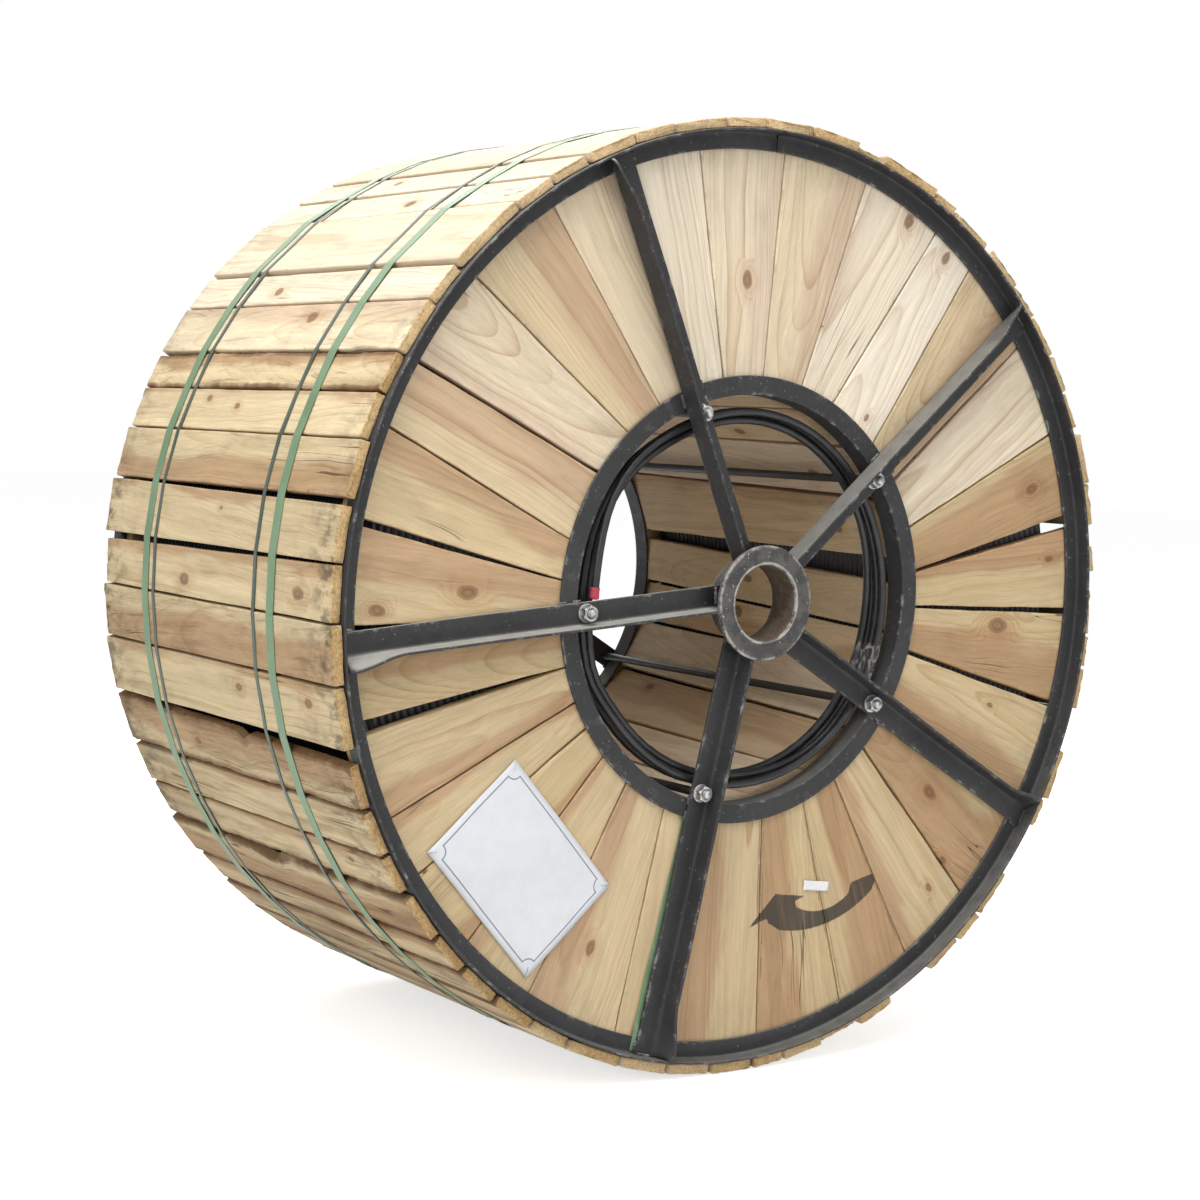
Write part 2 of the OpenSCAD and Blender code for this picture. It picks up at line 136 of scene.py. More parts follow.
def wobble(terms=4, first=1.0, fall=0.75):
    """A smooth random function of one number, about -1 to 1."""
    rate = first * np.arange(1, terms + 1) * rng.uniform(0.8, 1.2, terms)
    phase = rng.uniform(0, TAU, terms)
    size = fall ** np.arange(terms)
    size = 1.4 * size / size.sum()
    return lambda t: (size * np.sin(np.multiply.outer(np.asarray(t, float), rate * TAU) + phase)).sum(-1)


def unit(vectors):
    return vectors / np.linalg.norm(vectors, axis=1, keepdims=True)


def quads(rows, cols, wrap_rows=False, wrap_cols=True):
    i = np.arange(rows if wrap_rows else rows - 1)
    j = np.arange(cols if wrap_cols else cols - 1)
    i, j = np.meshgrid(i, j, indexing="ij")
    i2, j2 = (i + 1) % rows, (j + 1) % cols
    corners = [i * cols + j, i * cols + j2, i2 * cols + j2, i2 * cols + j]
    return np.stack(corners, -1).reshape(-1, 4).tolist()


def linked(name, data):
    """A new object in the scene."""
    piece = bpy.data.objects.new(name, data)
    bpy.context.scene.collection.objects.link(piece)
    return piece


class Shape:
    """Vertices, faces and vertex attributes of one piece, gathered part by part."""

    def __init__(self):
        self.points = []
        self.faces = []
        self.attributes = {}
        self.count = 0

    def add(self, points, faces, **attributes):
        points = np.asarray(points, float).reshape(-1, 3)
        self.faces += [[k + self.count for k in face] for face in faces]
        self.points.append(points)
        for key, value in attributes.items():
            value = np.asarray(value, np.float32).reshape(len(points), -1)
            self.attributes.setdefault(key, []).append(value)
        self.count += len(points)

    def sweep(self, sections, ring=False, **attributes):
        """Skins a row of closed sections, capped at both ends or joined into a ring."""
        rows, cols = sections.shape[:2]
        faces = quads(rows, cols, ring)
        if not ring:
            faces += [list(range(cols)), list(range((rows - 1) * cols, rows * cols))]
        self.add(sections, faces, **attributes)

    def make(self, name, material, slot, replaces=(), smooth=True):
        mesh = bpy.data.meshes.new(name)
        mesh.from_pydata(world(np.concatenate(self.points)).tolist(), [], self.faces)
        solid = bmesh.new()
        solid.from_mesh(mesh)
        bmesh.ops.recalc_face_normals(solid, faces=solid.faces)
        solid.to_mesh(mesh)
        solid.free()
        for key, parts in self.attributes.items():
            values = np.concatenate(parts)
            kind, key_in = ("FLOAT", "value") if values.shape[1] == 1 else ("FLOAT_VECTOR", "vector")
            mesh.attributes.new(key, kind, "POINT").data.foreach_set(key_in, values.ravel())
        mesh.polygons.foreach_set("use_smooth", np.full(len(mesh.polygons), smooth))
        mesh.materials.append(material)
        piece = linked(name, mesh)
        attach(piece, "root")
        if replaces:
            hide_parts(*replaces)
        return piece


def loose_parts(node):
    """Corner points of each separate solid of a CAD node, in the drum's own frame."""
    mesh = frame["nodes"][node].data
    points = np.empty(len(mesh.vertices) * 3)
    mesh.vertices.foreach_get("co", points)
    grid = 2e4
    key, place = np.unique(np.round(points.reshape(-1, 3) * grid).astype(int), axis=0, return_inverse=True)
    edges = np.empty(len(mesh.edges) * 2, int)
    mesh.edges.foreach_get("vertices", edges)
    edges = place.ravel()[edges.reshape(-1, 2)]
    label = np.arange(len(key))
    while True:
        low = np.minimum(label[edges[:, 0]], label[edges[:, 1]])
        new = label.copy()
        np.minimum.at(new, edges[:, 0], low)
        np.minimum.at(new, edges[:, 1], low)
        if (new == label).all():
            break
        label = new
    x, y, z = key.T / grid
    own = np.stack([x, z - AXIS_H, -y], -1)
    return [own[label == k] for k in np.unique(label)]


def math_node(kind):
    """A method of Num that adds one kind of math node."""
    return lambda number, *others: number.paint.maths(kind, number, *others)


class Num:
    """A number in a node tree; arithmetic with it adds math nodes."""

    def __init__(self, paint, socket):
        self.paint = paint
        self.socket = socket

    __add__ = __radd__ = math_node("ADD")
    __mul__ = __rmul__ = math_node("MULTIPLY")
    __sub__ = math_node("SUBTRACT")
    __truediv__ = math_node("DIVIDE")
    __pow__ = math_node("POWER")
    __abs__ = math_node("ABSOLUTE")
    most = math_node("MAXIMUM")
    least = math_node("MINIMUM")
    sine = math_node("SINE")
    fract = math_node("FRACT")
    floor = math_node("FLOOR")

    def __rsub__(self, other):
        return self.paint.maths("SUBTRACT", other, self)

    def step(self, start, end, to_start=0.0, to_end=1.0):
        """Smooth step from one value to another."""
        args = (self, start, end, to_start, to_end)
        mapped = self.paint.node("ShaderNodeMapRange", *args, interpolation_type="SMOOTHSTEP")
        return Num(self.paint, mapped)


class Paint:
    """The nodes of a material, or of the world, under construction."""

    def __init__(self, name, library=bpy.data.materials):
        self.owner = library.new(name)
        self.owner.use_nodes = True
        self.tree = self.owner.node_tree

    def put(self, socket, value):
        if isinstance(value, Num):
            value = value.socket
        if isinstance(value, bpy.types.NodeSocket):
            self.tree.links.new(value, socket)
        elif isinstance(value, tuple) and len(socket.default_value) == 4:
            socket.default_value = (*value, 1.0)
        elif value is not None:
            socket.default_value = value

    def node(self, kind, *inputs, out=0, **settings):
        node = self.tree.nodes.new(kind)
        for key, value in settings.items():
            setattr(node, key, value)
        for socket, value in zip(node.inputs, inputs):
            self.put(socket, value)
        return node.outputs[out]

    def maths(self, kind, *inputs):
        return Num(self, self.node("ShaderNodeMath", *inputs, operation=kind))

    def named(self, kind, out=0, **inputs):
        node = self.tree.nodes.new(kind)
        for key, value in inputs.items():
            self.put(node.inputs[key], value)
        return node.outputs[out]

    def vector(self, name):
        return self.node("ShaderNodeAttribute", attribute_name=name, out=1)

    def number(self, name):
        return Num(self, self.node("ShaderNodeAttribute", attribute_name=name, out=2))

    def split(self, vector):
        node = self.tree.nodes.new("ShaderNodeSeparateXYZ")
        self.put(node.inputs[0], vector)
        return [Num(self, socket) for socket in node.outputs]

    def join(self, x, y, z):
        return self.node("ShaderNodeCombineXYZ", x, y, z)

    def scaled(self, vector, x, y, z):
        return self.node("ShaderNodeVectorMath", vector, (x, y, z), operation="MULTIPLY")

    def place(self):
        return self.node("ShaderNodeTexCoord", out=3)

    def noise(self, vector, scale=1.0, detail=3.0, rough=0.5):
        inputs = dict(Vector=vector, Scale=scale, Detail=detail, Roughness=rough)
        return Num(self, self.named("ShaderNodeTexNoise", **inputs))

    def mix(self, share, a, b, blend="MIX"):
        node = self.tree.nodes.new("ShaderNodeMix")
        node.data_type = "RGBA"
        node.blend_type = blend
        for key, value in ((0, share), (6, a), (7, b)):
            self.put(node.inputs[key], value)
        return node.outputs[2]

    def shade(self, colour, share, tint):
        """Multiplies a colour by a tint, by a share."""
        return self.mix(share, colour, self.mix(1.0, colour, tint, "MULTIPLY"))

    def bump(self, height, strength, distance):
        return self.named("ShaderNodeBump", Strength=strength, Distance=distance, Height=height)

    def finish(self, **inputs):
        for key, value in inputs.items():
            self.put(self.tree.nodes["Principled BSDF"].inputs[key.replace("_", " ")], value)
        return self.owner


def times(colour, factor):
    return tuple(c * factor for c in colour)


def make_wood(name, pale, heart, dirty, rings, inked=False):
    """Sawn boards: growth rings round a pith line, heartwood, knots, fibres, cracks, stains, end grain."""
    p = Paint(name)
    grain = p.vector("grain")
    x, y, z = p.split(grain)
    knot_x, knot_y, knot_size = p.split(p.vector("knot"))
    heart_side, light, end = p.split(p.vector("mix"))
    stain, torn, ink = p.split(p.vector("wear"))
    age = p.number("age")

    def spots(along, across, detail=3.0, rough=0.5):
        return p.noise(p.scaled(grain, along, across, across), detail=detail, rough=rough)

    def strands(along, across, detail=3.0, rough=0.5):
        return p.noise(p.join(x * along, y * across, z * across), detail=detail, rough=rough)

    slow = spots(5.0, 9.0, 2.0) - 0.5
    y = y + slow * 0.030
    # knots
    ragged = spots(60.0, 90.0, 2.0) - 0.5
    away = ((knot_x * 0.62) ** 2.0 + knot_y ** 2.0) ** 0.5 / knot_size.most(0.001) + ragged * 0.6
    knot = away.step(1.05, 0.75)
    halo = away.step(3.4, 0.7)
    # growth rings
    ring_r = (y ** 2.0 + z ** 2.0) ** 0.5 + halo ** 2.0 * 0.012
    phase = ring_r * 255.0 + p.noise(p.join(ring_r * 60.0, light, 0.0), detail=2.0) * 3.0
    saw = phase.fract()
    strong = p.noise(p.join(phase.floor(), light, 0.0), 3.1, 0.0).step(0.3, 0.75, 0.1, 1.0)
    late = saw ** 3.0 * saw.step(1.0, 0.93) * strong
    # streaks and fibres along the board
    streak = strands(3.5, 95.0, rough=0.6) - 0.5
    fibre = strands(24.0, 800.0, rough=0.65) - 0.5
    # heartwood with an uneven border
    is_heart = (heart_side + slow * 0.85 + streak * 0.35).step(-0.07, 0.12)
    colour = p.mix(is_heart, pale, heart)
    # painted highlight: the brightest boards are pushed towards a washed-out pale, as where strong light
    # falls on them
    colour = p.mix(light.step(0.60, 0.95) * 0.85, colour, (0.715, 0.655, 0.550))
    tone = light * 0.56 + 0.60 + slow * 0.24 + streak * 0.46 + fibre * 0.50
    colour = p.mix(1.0, colour, p.join(tone, tone, tone), "MULTIPLY")
    colour = p.shade(colour, late * rings, (0.62, 0.46, 0.32))
    colour = p.shade(colour, halo * 0.36, (0.74, 0.53, 0.40))
    circles = (away * 11.0).sine() * 0.5 + 0.5
    colour = p.mix(knot * 0.74, colour, p.mix(circles, (0.130, 0.066, 0.034), (0.235, 0.130, 0.070)))
    # cracks along the fibres, and small dark specks
    split = abs(strands(1.3, 60.0, 1.0) - 0.5)
    where = spots(3.5, 10.0, 1.0)
    crack = split.step(age * 0.010 + 0.009, 0.003) * where.step(0.66 - age * 0.10, 0.72 - age * 0.10)
    colour = p.mix(crack * 0.75, colour, (0.055, 0.032, 0.018))
    speck = spots(150.0, 420.0, 2.0, 0.6).step(0.72, 0.79)
    colour = p.mix(speck * 0.45, colour, (0.12, 0.070, 0.038))
    # dirt, weather and torn edges
    blotch = spots(9.0, 22.0, 4.0, 0.6)
    colour = p.shade(colour, blotch.step(0.54, 0.74) * dirty * 0.7, (0.50, 0.49, 0.47))
    soot = spots(26.0, 40.0, 4.0, 0.65)
    colour = p.shade(colour, (stain * soot.step(0.42, 0.66)).least(0.85), (0.30, 0.305, 0.31))
    weather = strands(2.2, 34.0, 5.0, 0.68)
    colour = p.shade(colour, weather.step(0.47, 0.66) * age * 0.85, (0.62, 0.56, 0.48))
    brown = strands(5.0, 150.0, rough=0.6)
    colour = p.mix(brown.step(0.58, 0.70) * age * 0.65, colour, (0.170, 0.100, 0.050))
    colour = p.mix(torn * blotch.step(0.28, 0.55) * 0.85, colour, (0.150, 0.078, 0.034))
    # sawn end grain
    rough_end = spots(30.0, 260.0, rough=0.7)
    ochre = p.mix(rough_end.step(0.30, 0.68), (0.370, 0.215, 0.080), (0.660, 0.455, 0.205))
    colour = p.mix(end * 0.7, colour, p.mix(late * 0.5, ochre, (0.22, 0.11, 0.04)))
    if inked:
        fuzz = spots(240.0, 500.0, 2.0) - 0.5
        worn = (streak + fibre * 0.4).step(-0.05, 0.30, 0.93, 0.70)
        colour = p.mix((ink + fuzz * 2.2).step(0.7, -0.7) * worn, colour, (0.050, 0.043, 0.036))
    mill = (x * 1500.0 + slow * 15.0).sine() * where.step(0.35, 0.65, 0.0, 0.08)
    height = fibre * 0.6 + weather * age * 0.9 + late * 0.25 - crack * 1.6 + knot * 0.4
    height = height + mill + end * rough_end * 2.0
    return p.finish(Base_Color=colour, Roughness=fibre.step(-0.3, 0.3, 0.66, 0.88),
                    Normal=p.bump(height, 0.6, 0.9 * MM), Specular_IOR_Level=0.22)


def make_steel(name, colour, bare, wear, rust=0.0):
    """Painted steel: uneven paint, dust, flecks, scratches and worn edges, with rust where the bore is, and
    a painted highlight: faces that look up are made paler, partly as dust.
    """
    p = Paint(name)
    place = p.place()
    edge = p.number("edge")
    big = p.noise(place, 9.0)
    mid = p.noise(place, 55.0, 4.0, 0.6)
    fine = p.noise(place, 420.0, rough=0.6)
    base = p.mix(big.step(0.3, 0.7), colour, times(colour, 1.45))
    base = p.mix(mid.step(0.45, 0.75) * 0.4, base, times(colour, 0.6))
    dust = fine.step(0.52, 0.80) * big.step(0.36, 0.66)
    base = p.mix(dust * 0.16, base, (0.24, 0.22, 0.19))
    _, _, up = p.split(p.node("ShaderNodeNewGeometry", out=1))
    # faces that look up turn paler: settled dust, and a painted highlight where light from above falls
    settled_dust_and_top_light = up.step(0.15, 0.85) * (mid + fine * 0.4).step(0.45, 0.80, 0.35, 0.65)
    base = p.mix(settled_dust_and_top_light, base, (0.190, 0.185, 0.168))
    # on pieces given the dust attribute (the spokes) the up-facing faces turn paler still: thick dust and a
    # painted highlight
    thick = p.number("dust") * up.step(0.62, 0.98) * (mid + fine * 0.4).step(0.45, 0.85, 0.65, 0.95)
    base = p.mix(thick, base, (0.350, 0.340, 0.310))
    if rust:
        brown = p.mix(fine, (0.050, 0.030, 0.018), (0.115, 0.072, 0.045))
        base = p.mix(p.number("bore") * rust * mid.step(0.25, 0.5, 0.55, 1.0), base, brown)
    fleck = p.noise(place, 190.0, 1.0).step(0.725, 0.755)
    scratch = p.noise(p.scaled(place, 30.0, 420.0, 90.0), detail=2.0).step(0.71, 0.74)
    scratch = scratch * mid.step(0.50, 0.62)
    chip = edge * (mid + fine * 0.5).step(0.92 - 0.22 * wear, 1.06 - 0.20 * wear)
    gone = chip.most(fleck.most(scratch) * (0.7 * wear)).least(1.0)
    base = p.mix(gone, base, p.mix(fine.step(0.35, 0.65), bare, times(bare, 0.55)))
    rough = mid.step(0.3, 0.7, 0.50, 0.66) + dust * 0.15
    height = mid * 0.5 + fine * 0.35 - gone * 0.35
    return p.finish(Base_Color=base, Roughness=rough, Metallic=gone * 0.6,
                    Normal=p.bump(height, 0.5, 0.5 * MM), Specular_IOR_Level=0.35)


def make_zinc(name, colour, metallic):
    p = Paint(name)
    place = p.place()
    mid = p.noise(place, 240.0)
    fine = p.noise(place, 1500.0, 2.0)
    base = p.mix(mid.step(0.3, 0.7), colour, times(colour, 0.6))
    base = p.mix(mid.step(0.60, 0.72) * 0.6, base, times(colour, 0.3))
    return p.finish(Base_Color=base, Metallic=metallic, Roughness=fine.step(0.3, 0.7, 0.28, 0.50),
                    Normal=p.bump(fine, 0.3, 0.2 * MM))


def make_rod(name, dull, plated):
    """Dull dark bar, plated where it is threaded."""
    p = Paint(name)
    place = p.place()
    _, y, _ = p.split(place)
    thread = abs(y).step(FACE_Z - 2 * MM, FACE_Z)
    mid = p.noise(place, 240.0)
    dark = p.mix(mid.step(0.3, 0.7), dull, times(dull, 1.8))
    base = p.mix(thread, dark, p.mix(mid.step(0.3, 0.7), plated, times(plated, 0.6)))
    return p.finish(Base_Color=base, Metallic=thread * 0.9, Roughness=mid.step(0.3, 0.7, 0.48, 0.64))


def make_plastic(name, colour, second, scale, rough, bump_scale):
    p = Paint(name)
    place = p.place()
    mid = p.noise(place, scale, 4.0, 0.6)
    fine = p.noise(place, bump_scale)
    return p.finish(Base_Color=p.mix(mid.step(0.32, 0.70), colour, second),
                    Roughness=fine.step(0.25, 0.75, rough - 0.10, rough + 0.12),
                    Normal=p.bump(fine, 0.4, 0.3 * MM))


def make_tape(name):
    """Clear tape: thin, creased, milky where it is folded."""
    p = Paint(name)
    place = p.place()
    crease = abs(p.noise(p.scaled(place, 60.0, 60.0, 25.0), detail=3.0) - 0.5).step(0.05, 0.0)
    return p.finish(Base_Color=p.mix(crease, (0.25, 0.24, 0.22), (0.60, 0.58, 0.55)),
                    Alpha=crease.step(0.0, 1.0, 0.04, 0.22), Roughness=crease.step(0.0, 1.0, 0.16, 0.30),
                    Normal=p.bump(crease, 0.6, 0.8 * MM))


def make_strap(name, colour, second):
    """Packing strap: a lattice pressed into the band, drawn lines, and a painted highlight that makes it
    paler where it faces up.
    """
    p = Paint(name)
    along, across, _ = p.split(p.vector("band"))
    lattice = ((along + across) * 1900.0).sine() * ((along - across) * 1900.0).sine()
    mid = p.noise(p.place(), 16.0, 4.0, 0.6)
    lines = p.noise(p.join(along * 9.0, across * 700.0, 0.0), detail=2.0)
    base = p.mix(mid.step(0.35, 0.68), colour, second)
    base = p.mix(lines.step(0.5, 0.72) * 0.4, base, times(colour, 1.45))
    base = p.mix(lattice.step(0.2, 0.9) * 0.18, base, times(second, 0.5))
    _, _, up = p.split(p.node("ShaderNodeNewGeometry", out=1))
    # painted highlight: faces that look up are made paler, as light from above falls on them
    base = p.mix(up.step(0.30, 0.95) * 0.6, base, tuple(c + 0.26 for c in second))
    return p.finish(Base_Color=base, Roughness=mid.step(0.3, 0.7, 0.40, 0.56),
                    Normal=p.bump(lattice, 0.45, 0.3 * MM))


def make_paper(name, colour, border=None):
    """Printed film with a faint mottle and, on the sheet, a thin plain border with notched corners."""
    p = Paint(name)
    a, b, _ = p.split(p.vector("flat"))
    mottle = p.noise(p.join(a, b, 0.0), 38.0, 4.0, 0.6)
    base = p.mix(mottle.step(0.3, 0.7), colour, times(colour, 0.94))
    if border:
        half_w, half_l, margin, width, notch, line = border
        in_a = half_w - margin - abs(a)
        in_b = half_l - margin - abs(b)
        inside = in_a.least(in_b).least((in_a ** 2.0 + in_b ** 2.0) ** 0.5 - notch)
        base = p.mix(abs(inside).step(width, width * 0.55) * 0.8, base, line)
    return p.finish(Base_Color=base, Roughness=mottle.step(0.3, 0.7, 0.40, 0.55),
                    Normal=p.bump(mottle, 0.15, 0.6 * MM))


SHEET_W = 160 * MM
SHEET_L = 222 * MM
STEEL = make_steel("steel_paint", (0.023, 0.023, 0.024), (0.30, 0.30, 0.29), 0.65)
HUB_STEEL = make_steel("hub_steel", (0.036, 0.035, 0.034), (0.46, 0.45, 0.41), 1.15, rust=0.9)
WELD = make_steel("weld_steel", (0.045, 0.044, 0.042), (0.42, 0.41, 0.39), 0.8)
BRIGHT_WELD = make_steel("weld_bright", (0.120, 0.115, 0.105), (0.62, 0.61, 0.58), 1.3)
FLANGE_WOOD = make_wood("flange_wood", (0.590, 0.455, 0.262), (0.470, 0.308, 0.170), 0.35, 0.75, inked=True)
STAVE_WOOD = make_wood("stave_wood", (0.720, 0.560, 0.360), (0.560, 0.395, 0.245), 0.6, 0.45)
LAGGING_WOOD = make_wood("lagging_wood", (0.660, 0.530, 0.325), (0.490, 0.335, 0.190), 0.55, 0.50)
ZINC = make_zinc("zinc", (0.60, 0.60, 0.59), 0.9)
ROD_STEEL = make_rod("rod_steel", (0.016, 0.015, 0.014), (0.60, 0.60, 0.59))
CABLE = make_plastic("cable_black", (0.010, 0.010, 0.011), (0.022, 0.022, 0.024), 30.0, 0.42, 260.0)
CAP_RED = make_plastic("cap_red", (0.36, 0.030, 0.055), (0.46, 0.060, 0.085), 120.0, 0.45, 500.0)
TAPE = make_tape("clear_tape")
STRAP_LIGHT = make_strap("strap_light", (0.122, 0.205, 0.108), (0.168, 0.265, 0.152))
STRAP_DARK = make_strap("strap_dark", (0.043, 0.070, 0.053), (0.078, 0.106, 0.084))
SHEET = make_paper("sheet_white", (0.66, 0.675, 0.70),
                   (SHEET_W / 2, SHEET_L / 2, 8.5 * MM, 1.1 * MM, 12 * MM, (0.07, 0.09, 0.17)))
STICKER = make_paper("sticker_paper", (0.76, 0.76, 0.75))

# Camera, as the photo was taken
cam = linked("camera", bpy.data.cameras.new("camera"))
cam.data.sensor_width = 36.0
cam.data.lens = 71.36
cam.location = (-1.9007, -2.7230, 0.8131)
cam.rotation_euler = (86.153 * DEG, -2.650 * DEG, -34.509 * DEG)
bpy.context.scene.camera = cam

# Loose inner end of the cable: it winds from slot to slot (steps inwards, forwards), then to the cap
TAIL_SLOTS = [(0, 0), (1, 0), (1, 1), (0, 1), (0, 2)]
TAIL_START = 140.6 * DEG
TAIL_END = (176.9 + 4 * 360) * DEG
TAIL_LEAD = 38 * DEG
TAIL_RISE = 50 * DEG
TAIL_CROSS = 46 * DEG
CAP_TURN = 177.9 * DEG
CAP_R = TAIL_R - CABLE_D
CAP_Z = TAIL_Z + 6.8 * MM
CAP_SLACK = 0.06
EXIT_R = 264 * MM
EXIT_Z = 262 * MM
# Stretches where the turns spring out to the eye: angle, half span in degrees, millimetres
TAIL_BULGES = [(145, 32, 7.5), (203, 16, 5.0)]


def tail_route():
    step = 1.05 * CABLE_D
    slots = [(TAIL_R - CABLE_D / 2 - step * i, TAIL_BACK_Z + CABLE_D / 2 + step * k) for i, k in TAIL_SLOTS]
    stops = np.array([(EXIT_R, EXIT_Z), *slots, (CAP_R, CAP_Z)])
    first = TAIL_START + TAIL_LEAD
    last = TAIL_END - TAIL_RISE
    crossings = np.linspace(first, last, len(slots) + 1)[1:-1]
    middles = [TAIL_START + TAIL_LEAD / 2, *crossings, TAIL_END - TAIL_RISE / 2 - CAP_SLACK]
    widths = [TAIL_LEAD, *[TAIL_CROSS] * len(crossings), TAIL_RISE - CAP_SLACK]
    a = np.linspace(TAIL_START, TAIL_END, 66 * 4)
    place = np.repeat(stops[:1], len(a), 0)
    for mid, width, change in zip(middles, widths, np.diff(stops, axis=0)):
        place += np.outer(ease((a - mid) / width + 0.5), change)
    begun = ease((a - first) / 0.5)
    r = place[:, 0] - 1.3 * MM * begun * ease((last - a) / 0.5) * (1 + np.sin(3 * a + 0.7))
    for turn, half, out in TAIL_BULGES:
        off = (np.degrees(a) - turn + 180) % 360 - 180
        r = r + out * MM * begun * np.cos(np.clip(off / half, -1, 1) * math.pi / 2) ** 2
    return polar(r, a, place[:, 1])


route = world(tail_route())
curve = bpy.data.curves.new("cable_tail_cord", "CURVE")
curve.dimensions = "3D"
curve.bevel_depth = CABLE_D / 2
curve.bevel_resolution = 5
curve.use_fill_caps = True
spline = curve.splines.new("POLY")
spline.points.add(len(route) - 1)
spline.points.foreach_set("co", np.column_stack([route, np.ones(len(route))]).ravel())
curve.materials.append(CABLE)
tail = linked("cable_tail_cord", curve)
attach(tail, "root")
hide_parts("cable_tail")


def end_cap():
    """Shrunk cap: a rolled mouth, a waist over the cable's end and a round tip."""
    along_mm = [-7.5, -7.5, -7.1, -5.8, -4.6, -1.2, 2.0, 4.0, 5.8, 6.8, 7.3, 7.5]
    radius_mm = [5.5, 6.0, 6.4, 6.3, 5.9, 6.0, 5.9, 6.1, 6.0, 5.4, 4.2, 2.2]
    t = around(24)
    s = np.array(along_mm)[:, None] * MM
    r = np.array(radius_mm)[:, None] * MM
    cap = Shape()
    cap.sweep(turned_by(CAP_TURN, CAP_R + r * np.cos(t), s, CAP_Z + r * np.sin(t)))
    return cap.make("tail_end_cap", CAP_RED, "cap_red", ["tail_cap"])


def tail_tape():
    """Creased band of clear tape round the loose turns on the right."""
    t = around(40)
    across = np.sign(np.cos(t)) * np.abs(np.cos(t)) ** 0.55 * 12.5 * MM
    deep = np.sign(np.sin(t)) * np.abs(np.sin(t)) ** 0.55 * 17.5 * MM
    k = np.arange(14)[:, None]
    a = -21 * DEG + np.linspace(-0.11, 0.11, 14)[:, None]
    crumple = 1 + 0.05 * np.sin(5 * t + k) + 0.03 * np.sin(9 * t - 2 * k)
    mid_r = TAIL_R - CABLE_D
    mid_z = (TAIL_Z + TAIL_BACK_Z) / 2
    skins = [polar(mid_r + across * crumple * f, a, mid_z + deep * crumple * f) for f in (1.0, 0.975)]
    tape = Shape()
    tape.sweep(np.concatenate([skins[0], skins[1][::-1]]), ring=True)
    return tape.make("tail_tape", TAPE, "cable_black")


end_cap()
tail_tape()


@dataclass
class Look:
    """Look of one board: brightness, heartwood and its side, knots, torn edges, stain, age, notches."""
    light: float
    heart: float
    side: int = 1
    knots: list = field(default_factory=list)
    torn: tuple = (0.0, 0.0)
    stain: float = 0.25
    age: float = 0.15
    notches: tuple = ()


# What a board carries where no ink or knot is near, how far its ends are stained, the least tear that shows
NO_INK = 99.0
NO_KNOT = (9.0, 9.0, 10 * MM)
STAIN_L = 0.045
TORN = 1.5 * MM


def board_section(across, b):
    """Points round a board: share across, shift across, share of the thickness, shift in height."""
    mid = np.linspace(0, 1, across + 1)[1:-1]
    top = [(0, b, 1, 0), (0, 2.2 * b, 1, 0), *[(v, 0, 1, 0) for v in mid]]
    top += [(1, -2.2 * b, 1, 0), (1, -b, 1, 0)]
    right = [(1, -0.3 * b, 1, -0.3 * b), (1, 0, 1, -b), (1, 0, 0.75, 0), (1, 0, 0.25, 0), (1, 0, 0, b)]
    under = [(1, -0.3 * b, 0, 0.3 * b), (1, -b, 0, 0), *[(v, 0, 0, 0) for v in (0.75, 0.5, 0.25)]]
    left = [(0, b, 0, 0), (0, 0.3 * b, 0, 0.3 * b), (0, 0, 0, b), (0, 0, 0.25, 0), (0, 0, 0.75, 0)]
    last = [(0, 0, 1, -b), (0, 0.3 * b, 1, -0.3 * b)]
    return (np.array(column, float)[None, :] for column in zip(*top, *right, *under, *left, *last))


